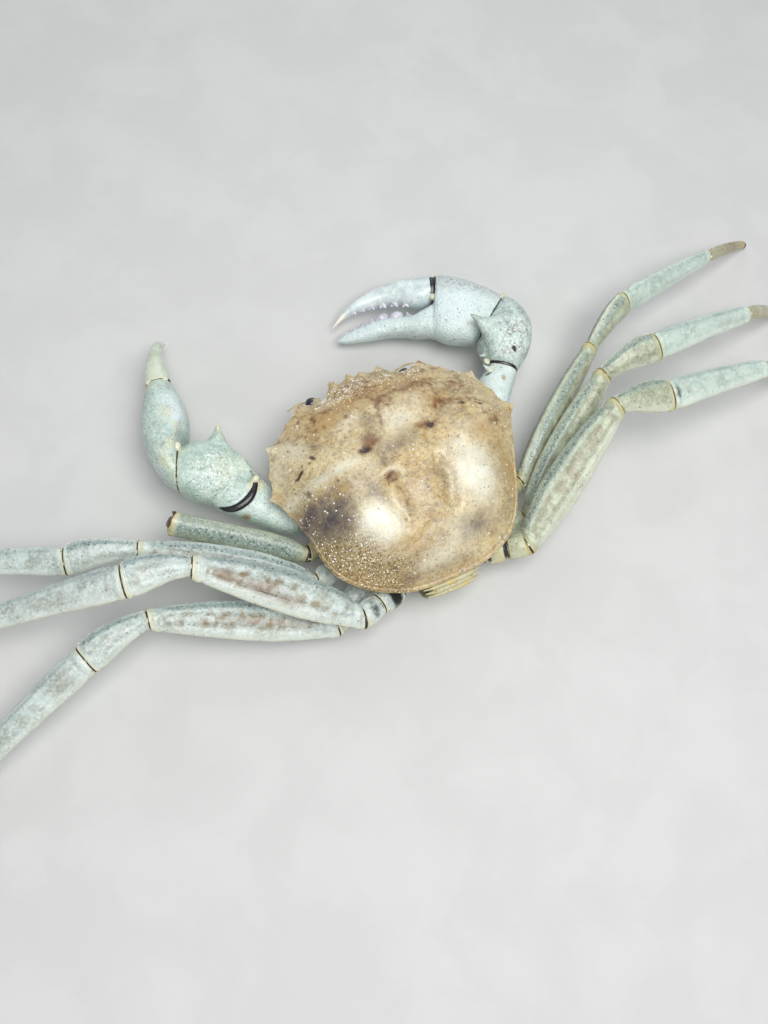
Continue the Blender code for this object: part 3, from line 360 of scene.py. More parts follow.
# %% Finishes of the claws
claw_shell = shell("claw_shell_crusted", [(186, 208, 198), (156, 184, 174), (214, 228, 216), (214, 212, 174),
                                          (146, 122, 84), INK],
                   cloud_size=12.0, fine_size=2.0, rough=(0.32, 0.5), coat=0.3, pores=0.5, pore_paint=(92, 92, 76),
                   relief=(0.5, 0.35, 0.9, 1.3), depth=0.34, extra=claw_crust)
finger_shell = shell("finger_shell_smooth", [(210, 218, 198), (192, 204, 182), (224, 230, 212), (228, 224, 196),
                                             (140, 104, 100), INK],
                     cloud_size=20.0, fine_size=7.0, rough=(0.26, 0.42), coat=0.4, pores=0.08,
                     pore_paint=(110, 104, 92), relief=(0.1, 0.05, 0.0, 2.4), depth=0.06)
white_finger_shell = shell("finger_shell_white", [(220, 234, 234), (192, 206, 206), (238, 246, 246),
                                                  (238, 228, 218), (140, 104, 100), INK],
                           fine_size=5.0, rough=(0.24, 0.42), coat=0.4, pores=0.3, pore_paint=(110, 104, 92),
                           relief=(0.2, 0.1, 0.1, 1.8), depth=0.1)
tooth_enamel = shell("tooth_enamel", [(206, 204, 214), (182, 178, 194), (230, 230, 234), (232, 226, 216),
                                      (110, 84, 96), INK],
                     cloud_size=4.0, rough=(0.2, 0.32), coat=0.5, pores=0.0, skin_glow=0.0)
knob_shell = shell("joint_knob_cream", [(222, 220, 190), (204, 200, 166), (236, 234, 214), (212, 202, 158),
                                        (150, 112, 60), INK], cloud_size=5.0, rough=(0.26, 0.4), pores=0.0)

# %% Finishes of the legs
leg_shell = shell("leg_shell_mottled", [(194, 208, 204), (162, 174, 170), (226, 234, 228), (218, 216, 184),
                                        (116, 90, 60), INK],
                  cloud_size=11.0, fine_size=1.6, rough=(0.32, 0.52), coat=0.3, pores=0.6, pore_paint=(78, 78, 68),
                  relief=(0.5, 0.4, 0.5, 1.2), depth=0.24, extra=leg_dashes)
mint_leg_shell = shell("leg_shell_mint", [(196, 214, 204), (176, 194, 184), (224, 236, 228), (208, 206, 168),
                                          (106, 82, 52), INK],
                       cloud_size=13.0, fine_size=3.0, rough=(0.32, 0.52), coat=0.3, pores=0.4,
                       pore_paint=(84, 84, 72), relief=(0.5, 0.4, 0.4, 1.2), depth=0.2, extra=leg_dashes)
olive_leg_shell = shell("leg_shell_olive", [(178, 186, 160), (150, 156, 134), (204, 212, 188), (200, 188, 130),
                                            (104, 88, 56), INK],
                        cloud_size=13.0, fine_size=2.0, rough=(0.32, 0.52), coat=0.3, pores=0.6,
                        pore_paint=(74, 72, 56), relief=(0.5, 0.4, 0.5, 1.2), depth=0.24, extra=leg_dashes)
leg_tip_shell = shell("leg_tip_shell_horn", [(178, 180, 158), (160, 154, 118), (204, 200, 176), (196, 166, 96),
                                             (110, 80, 48), INK],
                      fine_size=2.0, rough=(0.32, 0.5), coat=0.3, relief=(0.6, 0.3, 0.3, 1.2))

# %% Finishes of the head
stalk_shell = shell("eye_stalk_brown", [(164, 156, 130), (134, 124, 100), (188, 182, 158), (176, 158, 104),
                                        (104, 84, 60), INK], cloud_size=5.0, rough=(0.3, 0.48), coat=0.4, pores=0.2)
cornea = shell("eye_cornea_dark", [(38, 34, 46), (24, 22, 32), (52, 46, 60), (120, 104, 80), (60, 44, 40),
                                   (10, 10, 14)],
               cloud_size=3.0, fine_size=0.8, rough=(0.12, 0.22), coat=0.7, pores=0.0,
               relief=(0.1, 0.3, 0.6, 0.35), depth=0.05, skin_glow=0.0)
mouth_shell = shell("mouthpart_shell_satin", [(204, 190, 146), (180, 162, 112), (224, 214, 180), (210, 176, 100),
                                              (128, 92, 50), (50, 40, 32)], coat=0.25)
feeler_shell = shell("feeler_shell_satin", [(196, 176, 122), (170, 146, 92), (216, 202, 160), (206, 170, 90),
                                            (118, 84, 46), (44, 36, 30)], cloud_size=4.0, fine_size=1.0, coat=0.25)
bristle_hair = shell("mouth_bristle", [(150, 118, 66), (118, 88, 46), (176, 148, 96), (190, 150, 80), (96, 64, 34),
                                       (30, 24, 18)], cloud_size=3.0, coat=0.0, pores=0.0, rough=(0.5, 0.6))

# %% Finishes of what is soft
membrane = shell("joint_membrane_dark", [(30, 28, 32), (46, 40, 40), (20, 20, 26), (120, 104, 70), (72, 52, 38),
                                         (12, 12, 16)],
                 cloud_size=4.0, fine_size=1.2, rough=(0.2, 0.4), coat=0.5, pores=0.0, relief=(0.9, 0.2, 0.0, 1.0),
                 depth=0.3, skin_glow=0.0)
dried_tissue = shell("dried_tissue", [(104, 86, 74), (74, 60, 54), (142, 124, 108), (150, 124, 92), (64, 44, 36),
                                      (26, 20, 20)],
                     cloud_size=3.0, fine_size=1.0, rough=(0.4, 0.6), coat=0.1, relief=(0.9, 0.4, 0.2, 0.8),
                     depth=0.3)
print("finishes:", [m.name for m in bpy.data.materials if m.use_nodes])

# %% [markdown]
# ## Shapes by rule
# Every part of a crab is a hollow tube or a dish, so most pieces here are skins stretched over a row of
# sections. A short table of measured sections is read as a smooth curve, which gives a fine mesh from few
# numbers. The finished object sits at the origin, and its place is in its mesh.


# %% Read a short table as a smooth curve
def smooth_rows(rows, at):
    """Rows whose first number is the position; returns the rows at the positions asked for."""
    rows = np.array(rows, float)
    place = rows[:, 0]
    slope = np.gradient(rows, place, axis=0)
    at = np.asarray(at, float)
    k = np.clip(np.searchsorted(place, at, side="right") - 1, 0, len(place) - 2)
    step = (place[k + 1] - place[k])[:, None]
    s = ((at - place[k]) / (place[k + 1] - place[k]))[:, None]
    return (rows[k] * (1 + 2 * s) * (1 - s) ** 2 + slope[k] * step * s * (1 - s) ** 2
            + rows[k + 1] * s * s * (3 - 2 * s) + slope[k + 1] * step * s * s * (s - 1))


def eased(count):
    """Shares of a length that crowd towards both ends, where a rim needs more sections."""
    return 0.5 - 0.5 * np.cos(np.pi * np.linspace(0, 1, count))


def soft(value, low, high):
    """0 below low, 1 above high and a smooth rise between."""
    t = np.clip((value - low) / (high - low), 0, 1)
    return t * t * (3 - 2 * t)


def bell(value, middle, width):
    return np.exp(-((value - middle) / width) ** 2)


# %% Make an object from points and faces
def thing_from(name, verts, faces, tints=None):
    """A closed object from points in millimetres, normals outward, shaded smooth."""
    mesh = bpy.data.meshes.new(name)
    mesh.from_pydata((np.asarray(verts) * MM).tolist(), [], faces)
    work = bmesh.new()
    work.from_mesh(mesh)
    bmesh.ops.recalc_face_normals(work, faces=work.faces)
    work.to_mesh(mesh)
    work.free()
    mesh.shade_smooth()
    thing = put(name, mesh)
    if tints is not None:
        paint(thing, "tints", tints)
    return thing


def paint(thing, name, values):
    """Store three masks per point as a colour attribute."""
    layer = thing.data.color_attributes.new(name, "FLOAT_COLOR", "POINT")
    full = np.ones((len(thing.data.vertices), 4), np.float32)
    full[:, :3] = np.clip(values, 0, 1)
    layer.data.foreach_set("color", full.ravel())


def points_of(thing):
    """The points of an object, in millimetres."""
    flat = np.empty(len(thing.data.vertices) * 3)
    thing.data.vertices.foreach_get("co", flat)
    return flat.reshape(-1, 3) / MM


def normals_of(thing):
    """The direction that the skin faces at each point."""
    flat = np.empty(len(thing.data.vertices) * 3)
    thing.data.vertex_normals.foreach_get("vector", flat)
    return flat.reshape(-1, 3)


def set_points(thing, points):
    """Move the points of an object to new places, in millimetres."""
    thing.data.vertices.foreach_set("co", (points * MM).ravel())
    thing.data.update()


def skin_over(name, grid, tints=None):
    """Close a grid of sections (sections, points, 3) into one tube with a point at each end."""
    rows, count = grid.shape[:2]
    verts = np.vstack([grid.reshape(-1, 3), grid[0].mean(0), grid[-1].mean(0)])
    index = np.arange(rows * count).reshape(rows, count)
    turned = np.roll(index, -1, axis=1)
    quads = np.stack([index[:-1], turned[:-1], turned[1:], index[1:]], axis=-1).reshape(-1, 4).tolist()
    first, last = rows * count, rows * count + 1
    quads += [(int(b), int(a), first) for a, b in zip(index[0], turned[0])]
    quads += [(int(a), int(b), last) for a, b in zip(index[-1], turned[-1])]
    if tints is not None:
        flat = tints.reshape(-1, 3)
        tints = np.vstack([flat, tints[0].mean(0), tints[-1].mean(0)])
    return thing_from(name, verts, quads, tints)


# %% Sections, directions and angles
def squared_circle(count, power):
    """Angles round a section, with the x and y of a circle that a power above 2 squares off."""
    angle = 2 * np.pi * (np.arange(count) + 0.5) / count
    c, s = np.cos(angle), np.sin(angle)
    return angle, np.sign(c) * np.abs(c) ** (2 / power), np.sign(s) * np.abs(s) ** (2 / power)


def facing(path):
    """The direction of a path at each of its points."""
    last = len(path) - 1
    return [path[min(k + 1, last)] - path[max(k - 1, 0)] for k in range(last + 1)]


def apart(turn, at):
    """How far angles are from another angle, in radians."""
    return np.abs(np.angle(np.exp(1j * (turn - at))))


def egg(spots, centre, size, power=2):
    """A soft mask round a centre that fades out over a size per axis."""
    return np.exp(-(np.linalg.norm((spots - np.array(centre)) / size, axis=1)) ** power)


# %% [markdown]
# ## Relief and joins
# Living shell is never smooth, so noise moves the points a fraction of a millimetre. Where a spine or a finger
# grows out of a segment, a row of faces can't follow both. The shapes are laid over each other and melted with
# a voxel remesh, which gives one closed skin and a soft root.

# %% Rough noise for relief
def ripple(points, size, seed=0.0, octaves=4):
    """Fractal noise at the points, features of about that size in millimetres, from about -1 to 1."""
    shift = Vector((seed * 7.3, seed * 3.1, seed * 5.7))
    return np.array([noise.fractal(Vector(p) / size + shift, 1.0, 2.0, octaves) for p in points])


# %% Melt overlapping shapes into one skin
def plain(thing):
    """Bake an object's modifiers into a plain mesh."""
    graph = bpy.context.evaluated_depsgraph_get()
    mesh = bpy.data.meshes.new_from_object(thing.evaluated_get(graph))
    thing.modifiers.clear()
    thing.data = mesh


def joined(name, shapes, keep=False):
    """One object from the meshes of several shapes, which are used up unless they are kept."""
    work = bmesh.new()
    for shape in shapes:
        work.from_mesh(shape.data)
        if not keep:
            bpy.data.objects.remove(shape, do_unlink=True)
    mesh = bpy.data.meshes.new(name)
    work.to_mesh(mesh)
    work.free()
    return put(name, mesh)


def fused(name, shapes, cell, soften=5):
    """Melt closed shapes into one skin, as a modeller blends clay, and smooth the joins."""
    thing = joined(name, shapes)
    melt = thing.modifiers.new("melt", "REMESH")
    melt.mode = "VOXEL"
    melt.voxel_size = cell * MM
    ease = thing.modifiers.new("ease", "SMOOTH")
    ease.factor = 0.5
    ease.iterations = soften
    plain(thing)
    thing.data.shade_smooth()
    return thing


# %% Thorns, and small rounded lumps
THORN_SHAPE = ((-0.1, 1.12), (0.08, 0.94), (0.25, 0.7), (0.42, 0.5), (0.6, 0.34), (0.78, 0.2), (0.9, 0.12),
               (0.98, 0.06), (1.0, 0.02))


def thorn(base, tip, radius, sunk=0.35, hook=0.0, flare=0.0):
    """A spine that flares into its root; it starts below the surface so that it melts in."""
    base, tip = Vector(base), Vector(tip)
    axis = tip - base
    side = axis.cross(Vector((0, 0, 1))).normalized()
    over = side.cross(axis).normalized()
    angles = np.linspace(0, 2 * np.pi, 20, endpoint=False)
    rings = []
    for share, wide in ((-sunk, 1.25), *THORN_SHAPE):
        middle = base + axis * share + over * hook * max(share, 0) ** 2
        spread = 1 + flare * max(0.0, 1 - share) ** 2
        rings.append([tuple(middle + side * math.cos(a) * radius * wide * spread + over * math.sin(a) * radius * wide)
                      for a in angles])
    return skin_over("thorn", np.array(rings))


def lump(centre, radii, turn=0.0):
    """A small egg-shaped knob, turned about the upright axis."""
    turn_matrix = np.array(Matrix.Rotation(turn, 3, "Z"))
    lon = np.linspace(0, 2 * np.pi, 20, endpoint=False)
    rows = []
    for lat in np.linspace(-1.5, 1.5, 13):
        local = np.stack([np.cos(lat) * np.cos(lon), np.cos(lat) * np.sin(lon), np.full(20, np.sin(lat))], -1)
        rows.append((local * radii) @ turn_matrix.T + np.array(centre))
    return skin_over("lump", np.array(rows))


# %% Give a finished piece its body, its solid and its finish
made_pieces = []


def settle(piece, finish, slot, *nodes):
    """The last step of every piece: finish, body and the solids it stands for. The slot is not used."""
    piece.data.materials.clear()
    piece.data.materials.append(finish)
    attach(piece, "root")
    if nodes:
        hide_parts(*nodes)
    made_pieces.append(piece.name)


# %% [markdown]
# ## Carapace
# The shield is one dished shell with five side teeth, four brow teeth and two swellings over the gills. It is
# made as rings from the crown to the rim, which then fold under to the seam, because a ring follows the
# margin and so keeps its fold lines crisp. The teeth are pulled out of the rim as cusps, some worn blunt.

# %% The margin, from the middle of the brow to the middle of the back
CROWN_Y, DOME, SEAM, RIM_LEVEL = 2.0, 26.0, 27.5, 38
OUTLINE = [
    (0, -64.5, 37), (5, -64.5, 37), (10, -63.5, 37.2), (15, -63.2, 37.6), (18.5, -61.5, 38),
    (21.5, -58, 38.6), (26, -56.3, 39.2), (31, -56.4, 39.4), (36, -57.5, 39.2), (40, -56.8, 39),
    (46, -52, 39), (52, -47.5, 39.2), (58, -43, 39.5), (63.5, -38, 40), (67, -31.5, 40),
    (69.5, -24.5, 40), (71.2, -16.5, 40), (71.5, -9, 40), (69.5, -2, 39.8), (67, 5.5, 39.3),
    (65, 12.5, 38.7), (63.5, 20, 38), (62.5, 28, 37.4), (60.8, 36, 36.9), (57, 43.5, 36.5),
    (51, 50.5, 36.2), (44, 56.2, 36), (35, 61.5, 36), (25, 65.3, 36), (13, 67.2, 36), (0, 67.5, 36),
]
loop = OUTLINE + [(-x, y, z) for x, y, z in OUTLINE[-2:0:-1]]
loop = np.array(loop[-3:] + loop + loop[:4], float)
length = np.concatenate([[0], np.cumsum(np.linalg.norm(np.diff(loop, axis=0), axis=1))])
table = np.column_stack([length, loop])
COLUMNS = 600
margin = smooth_rows(table, np.linspace(length[3], length[-4], COLUMNS, endpoint=False))[:, 1:]
print("margin runs", round(length[-4] - length[3]), "mm")

# %% Teeth pulled out of the margin
# Tip, half width of the root, and the share of the left and the right tooth that is not worn away.
TEETH = [((3.8, -68.6, 37.6), 3.4, 0.8, 0.45), ((15.2, -68.4, 38), 3.8, 0.85, 0.5),
         ((40.2, -62.6, 39.4), 4.2, 0.62, 0.4), ((51.2, -53, 39.2), 3.2, 0.3, 0.35),
         ((67, -42, 40.4), 4.4, 0.72, 0.62), ((72, -25.5, 39.6), 3.0, 0.35, 0.35),
         ((76.4, -11, 40.8), 5.4, 0.7, 0.78)]
pull = np.zeros_like(margin)
for tip, root, left_share, right_share in TEETH:
    for side, kept in ((-1, right_share), (1, left_share)):
        goal = np.array((tip[0] * side, tip[1], tip[2]))
        away = np.linalg.norm(margin - goal, axis=1)
        foot = margin[away.argmin()]
        near = np.clip(1 - np.linalg.norm(margin - foot, axis=1) / root, 0, 1)
        pull += (goal - foot) * kept * (near ** 1.35)[:, None]
print("teeth on the margin:", 2 * len(TEETH))


# %% Relief of the shield
def line_distance(x, y, path):
    """Distance of points from a drawn line, in millimetres."""
    best = np.full(x.shape, 1e9)
    for (ax, ay), (bx, by) in zip(path, path[1:]):
        run = (bx - ax) ** 2 + (by - ay) ** 2
        t = np.clip(((x - ax) * (bx - ax) + (y - ay) * (by - ay)) / run, 0, 1)
        best = np.minimum(best, np.hypot(x - ax - t * (bx - ax), y - ay - t * (by - ay)))
    return best


def hump(x, y, cx, cy, sx, sy, height):
    """A soft rise round a place; a negative height makes a hollow."""
    return height * np.exp(-((x - cx) / sx) ** 2 - ((y - cy) / sy) ** 2)


# Humps are (x, y, width, length, height), lines are (height, width, path); both sides of the shield share them.
HUMPS = ((40, 22, 17, 24, 4.5), (47, -15, 15, 9, 1.8), (0, -28, 20, 13, 1.6), (13, -36, 8, 9, 1.4),
         (0, 21, 9, 12, 1.6), (42, -38, 10, 7, -1.8))
PITS = ((20, -11, 3.0, 0.9), (13.5, 9.5, 2.6, 0.5), (31, 1, 2.2, 0.5), (46, -20, 2.0, 0.4))
LINES = ((-2.4, 4.0, [(14, 10), (17, 19), (13, 32)]), (-1.8, 5.0, [(16, -2), (20, -11), (34, -22), (46, -31)]),
         (1.6, 5.0, [(70, -10), (52, -4), (34, 1)]),
         (-0.45, 2.2, [(14.5, 8), (11.5, 14), (10, 22), (12.5, 30), (15, 35)]),
         (-0.6, 2.4, [(15, -2), (19, -10), (26, -17), (34, -22.5), (46, -31)]),
         (0.6, 1.6, [(70, -10), (60, -8), (52, -6), (42, -5), (34, -1)]),
         (-0.8, 2.2, [(8, -50), (9, -38), (17, -28), (15, -20)]),
         (-0.5, 2.0, [(4, 40), (12, 44), (24, 46), (36, 44)]))


def shield_height(x, y, rim, r):
    """Height of the shield: the humps and the first three lines are the solid's, the rest is finer relief."""
    ax = np.abs(x)
    fade = 1 - r ** 6
    z = rim + DOME * (1 - r ** 2.4)
    for spot in HUMPS:
        z = z + fade * hump(ax, y, *spot)
    for height, width, path in LINES:
        z = z + fade * height * bell(line_distance(ax, y, path), 0, width)
    for cx, cy, size, deep in PITS:
        z = z - fade * hump(ax, y, cx, cy, size, size, deep)
    rear = soft(y, 5, 22)
    return z - rear * (0.42 * bell(r, 0.972, 0.007) - 0.35 * bell(r, 0.986, 0.005))


# %% Rings of the shield, then its fold under the rim
shares = np.sin(np.linspace(0.004, np.pi / 2, 88))
under = smooth_rows([(0, 1.0, 0.0), (1, 0.999, 0.05), (2, 0.995, 0.16), (3, 0.965, 0.42), (4, 0.915, 0.72),
                     (5, 0.87, 0.92), (6, 0.83, 1.0)], np.linspace(0.15, 6, 30))[:, 1:]
rings = []
for r in shares:
    flat = margin * r
    x, y = flat[:, 0], CROWN_Y + (margin[:, 1] - CROWN_Y) * r
    z = shield_height(x, y, margin[:, 2] * r + RIM_LEVEL * (1 - r), r)
    rings.append(np.column_stack([x, y, z]) + pull * soft(r, 0.93, 1.0) ** 1.6)
for r, drop in under:
    x, y = margin[:, 0] * r, CROWN_Y + (margin[:, 1] - CROWN_Y) * r
    z = margin[:, 2] - (margin[:, 2] - SEAM - 0.15) * drop
    rings.append(np.column_stack([x, y, z]) + pull * (1 - soft(drop, 0.0, 0.34)) ** 1.4)
grid = np.array(rings)

# %% Sink the orbits into the brow
eye_root, eye_end = np.array((19.6, -57.2, 33.0)), np.array((40.0, -66.2, 33.6))


def sink_orbit(points, side):
    """Push the brow back behind the socket that the eye lies in."""
    start, end = eye_root * (side, 1, 1), eye_end * (side, 1, 1)
    share = (points[..., 0] - start[0]) / (end[0] - start[0])
    centre = start + (end - start) * np.clip(share, 0, 1)[..., None]
    radius = 5.4 + 0.9 * np.clip(share, 0, 1)
    radius = radius * np.sqrt(np.clip(1 - np.abs((share - 0.46) / 0.56) ** 5, 0, 1))
    dz = points[..., 2] - centre[..., 2]
    wall = centre[..., 1] + np.sqrt(np.clip(radius ** 2 - dz ** 2, 0, None))
    inside = (np.abs(dz) < radius) & (points[..., 1] < wall) & (points[..., 1] < -44)
    points[..., 1] = np.where(inside, wall, points[..., 1])


for side in (-1, 1):
    sink_orbit(grid, side)
carapace = skin_over("carapace_shield", grid)
spots = points_of(carapace)
wave = ripple(spots, 9.0, 1.0) * 0.16 + ripple(spots, 2.6, 2.0, 3) * 0.07
set_points(carapace, spots + normals_of(carapace) * (wave * soft(spots[:, 2], 30, 38))[:, None])
print("carapace points:", len(spots))

# %% [markdown]
# ## Where the carapace is stained
# The marks are placed one by one as on the animal: rust on the front third, dark violet muscle scars in two
# pairs, a grey-violet bruise behind the left side tooth, dried sand at the left rear corner and orange-yellow
# along the margins. Each is a soft ellipse or a line, and the finish breaks its edges.

# %% Brushes for the marks
X, Y, Z = spots.T
reach = np.hypot(X / 71.5, (Y - CROWN_Y) / 66)


def patch(cx, cy, sx, sy, turn=0.0, strength=1.0, power=2.0):
    """A soft ellipse at a place on the shield; turn is in degrees."""
    c, s = math.cos(math.radians(turn)), math.sin(math.radians(turn))
    u, v = (X - cx) * c + (Y - cy) * s, -(X - cx) * s + (Y - cy) * c
    return strength * np.exp(-(np.hypot(u / sx, v / sy)) ** power)


def stroke(path, width, strength=1.0):
    """A soft line on the shield."""
    return strength * bell(line_distance(X, Y, path), 0, width)


def marks(*rows):
    """One mask per row: numbers make a soft ellipse, a path with its width and strength makes a line."""
    return [stroke(*row) if isinstance(row[0], list) else patch(*row) for row in rows]


def all_of(*masks):
    """Masks laid over each other, which never rise above 1."""
    return 1 - np.prod([1 - np.clip(m, 0, 1) for m in masks], axis=0)


# %% [markdown]
# ## Stains, scars and bruises by place
# The places are lists of numbers: middle, two radii, a turn in degrees and a strength, in millimetres on the
# shield. A list is easy to compare with the picture and to change, and a curve painted by hand is not.

# %% Ochre and rust
LEFT_HEART = [(13.6, 7.8), (12, 15), (10.2, 21.4), (11.2, 26), (11, 31.4)]
RIGHT_HEART = [(-11, 11), (-8, 19.5), (-8, 26), (-14.4, 32)]
ochre = all_of(0.14 * soft(reach, 0.88, 1.0), *marks(
    (52, 46, 14, 8, -40, 0.3), (30, 58, 20, 5, 0, 0.2), (-56, 24, 8, 26, 6, 0.5), (-6, -46, 46, 13, 0, 0.62),
    (34, -36, 22, 10, 20, 0.42), (-44, 0, 12, 10, 0, 0.5), (-30, -26, 20, 8, 0, 0.5), (0, 4, 12, 12, 0, 0.32),
    (12, 42, 12, 10, 0, 0.4), (6, 24, 9, 12, 0, 0.3), (38, 4, 12, 5, 10, 0.4)))
rust = all_of(*marks(
    (4, -48, 9, 6, 0, 0.75), (-4, -37, 7, 5, 30, 0.75), (-20, -40, 9, 3.6, 10, 0.72), (-34, -39, 10, 4, 10, 0.74),
    (-34, -31, 6, 4, 0, 0.5), (-48, -33, 9, 5, 25, 0.8), (-51, -26, 7, 4, 30, 0.5), (-30, -22, 7, 4.4, 0, 0.8),
    (-56, -4, 6, 5, 0, 0.75), ([(-30, -22), (-36, -24), (-42, -21), (-50, -19), (-58, -15)], 2.8, 0.55),
    ([(-1.9, -40), (2.3, -33.7), (3.1, -26.8), (6.3, -19.6)], 1.9, 0.55), ([(-2.8, -32), (-3.5, -24)], 1.1, 0.45),
    (-50, 12, 9, 5, 20, 0.5), ([(-40, -10), (-51, -8), (-66, -12)], 1.4, 0.4), (-14, -12, 6, 2.8, 0, 0.7),
    (14, -15, 6, 5, 0, 0.55), (-8, -59, 34, 4, 0, 0.5), (43, -28, 5, 8, 0, 0.5), (38, -42, 9, 5, 0, 0.5),
    (60, -14, 7, 9, 0, 0.42), (13.6, 8, 5, 4, 0, 0.8), (LEFT_HEART, 2.4, 0.5), (RIGHT_HEART, 1.8, 0.4),
    (-30, 1, 5, 6, 0, 0.4), (24, -22, 10, 5, 0, 0.34), (2, 12, 5, 5, 0, 0.34)))

# %% Dark scars and spots
oval = [(38.8, -19.3), (31.5, -18.6)]
dark = all_of(*marks(
    (19.5, -11.3, 4.6, 2.8, -15), (-20.3, -11.4, 3.2, 2.8), (-30.7, 1.1, 2.8, 4.2, 0, 0.55),
    (-12.6, 8.8, 1.7, 2.6, 0, 0.6), (-16, 11.3, 1.6, 2.4, 0, 0.6), (RIGHT_HEART, 1.2, 0.4),
    (LEFT_HEART[1:], 1.5, 0.52), (14.7, 32.4, 2.4, 2.6, 0, 0.62), (13.6, 7.8, 2.6, 2.2, 0, 0.8),
    (46.7, -19.8, 1.7, 3.2, 30), (49.3, -17.6, 1.2, 1.2, 0, 0.7), ([(54.3, -15.4), (57.7, -12.9)], 1.5, 0.9),
    ([(58, -13), (65, -13)], 0.9, 0.45), (36.9, -39.6, 1.6, 1.3, 0, 0.85), (39.3, -44.4, 1.5, 1.0, 0, 0.6),
    (42, -26.7, 1.5, 1.3, 0, 0.75), (44.4, -29.4, 1.0, 1.4, 0, 0.6), (39.6, -24.6, 1.2, 1.0, 0, 0.6),
    (33, -36, 1.4, 1.2, 0, 0.5), (-42.8, -17.6, 3.3, 1.5, -12, 0.95), (-52.3, -14.9, 3.6, 1.5, -20, 0.95),
    (56, -2.8, 2.1, 3.4, 0, 0.72)), stroke(oval, 2.4, 0.5) - stroke(oval, 1.3, 0.5), *marks(
    (21.8, 59.5, 7, 2, 0, 0.5), (-1.6, 6.2, 1.1, 1.1, 0, 0.85), (3.3, 6.1, 1.0, 1.0, 0, 0.85),
    (10.6, 52.6, 1.0, 1.0, 0, 0.9), (-30, -22.3, 3, 2.4, 0, 0.5), (-24, -40, 3, 1.2, 10, 0.5),
    (-38, -38, 3.4, 1.2, 20, 0.5), (-49, -31, 3.4, 1.4, 20, 0.5), (-57, -3, 2.4, 1.6, 40, 0.5),
    ([(37.3, 2.5), (32.3, 0.8), (28, 5)], 1.2, 0.45), ([(26.5, 8.3), (21.8, 16.8)], 1.7, 0.45),
    (-8, -63, 36, 3.0, 0, 0.32), (56, -40, 10, 4, 40, 0.2), (-6, -20.6, 1, 1, 0, 0.7)))

# %% Bruises with painted shade, dried sand, and bleached swellings with painted highlights, by place
violet = all_of(*marks(
    (53, 15, 16, 10, -40, 1.0, 4.0), (44, 11, 10, 6, -10, 0.75), (59, 11, 9, 7, 0, 0.9),
    (10.9, -25.8, 5.5, 4.5, 0, 0.5), (4.2, -7, 9, 5, 0, 0.52), (-5.5, -9, 6, 6, 0, 0.45), (13.4, -1.2, 4, 4, 0, 0.42),
    (-20.6, 48, 9, 6, 0, 0.66), (21.8, 59.5, 9, 3, 0, 0.5), (-2, 61, 14, 3.4, 0, 0.46), (31, 4, 10, 5, 0, 0.48),
    # The ellipse at (46, 3) is painted shade between the side ridge and the gill swelling.
    (24, 13, 5, 7, 20, 0.5), (14, -15, 7, 6, 0, 0.55), (46, 3, 12, 3, 10, 0.4), (-14, 20, 5, 10, 0, 0.34),
    (2, 24, 8, 14, 0, 0.24), (-34, 50, 8, 8, 0, 0.3), (8, 48, 14, 8, 0, 0.25), (-36, -14, 9, 5, 0, 0.3)))
sand = all_of(*marks(
    (44, 56, 24, 9, -30, 1.0, 3), (42, 50, 22, 8, -32, 0.9, 3), (57, 36, 8, 18, 22, 0.8),
    (47, 40, 17, 13, -35, 1.0, 3), (30, 52, 15, 7, 0, 0.8), (61, 30, 7, 13, 0, 0.6), (62, 6, 5, 11, 0, 0.55),
    (56, -3, 8, 8, 0, 0.4), (8, -55, 16, 6, 0, 0.4), (-50, 44, 9, 12, 20, 0.35), (-52, 20, 6, 16, 0, 0.3),
    (44, -34, 10, 8, 0, 0.25)))
# The two large ellipses on the gill swellings are painted highlights on pale cream; the others are pale shell.
bleach_and_highlight = all_of(*marks(
    (4, 55, 16, 5, 0, 0.5), (-12, 46, 12, 8, 0, 0.4), (29, 29, 13, 12, 0, 0.95, 2.6), (-32, 22, 12, 19, 4, 0.95, 2.6),
    ([(66, -3), (53.7, -4.8), (40, -6.4), (28, -7.2)], 3.4, 0.6), (54, -32, 11, 8, -30, 0.6),
    (-4.5, -20.6, 10, 7, 0, 0.62), (-42, -2, 9, 6, 0, 0.34), (22, -30, 10, 5, 20, 0.36), (-20, -28, 8, 6, 0, 0.4),
    (21, -2, 5, 5, 0, 0.3), (66, -24, 5, 9, 0, 0.4)), soft(reach, 1.04, 1.08) * 0.4)

# %% Ragged edges, rusty halos and blots, then paint
dark = dark * (0.68 + 0.06 * patch(19.5, -11.3, 7, 5) + 0.06 * patch(-20.3, -11.4, 6, 5))
rust = rust + 0.4 * patch(19.5, -11.3, 8, 5) + 0.4 * patch(-20.3, -11.4, 7, 5)
ragged = 0.9 + 0.5 * ripple(spots, 2.6, 15.0, 3)
blots = soft(ripple(spots, 4.2, 31.0, 3), 0.02, 0.45) * soft(-Y, 14, 38) * soft(-Y, 66, 58)
flecks = soft(ripple(spots, 2.2, 37.0, 2), 0.2, 0.6) * soft(-Y, 4, 30)
rim_stain = 0.5 * bell(reach, 0.98, 0.006) * soft(Y, -10, 20) * (0.6 + ripple(spots, 3.0, 5.0, 2))
rust = all_of(rust, 0.62 * blots, 0.4 * flecks, rim_stain)
paint(carapace, "tints", np.column_stack([ochre, rust * ragged * 0.92, dark * (0.6 + 0.4 * ragged)]))
paint(carapace, "patches", np.column_stack([violet, sand, bleach_and_highlight]))
print("stained share of the shield:", round(float((rust > 0.3).mean()), 3))


# %% [markdown]
# ## The shield as it lies
# The solid is even on both sides. The real shell is seen a little turned, so its right flank is leaned by a
# few millimetres, after the marks are painted, so that they move with it.

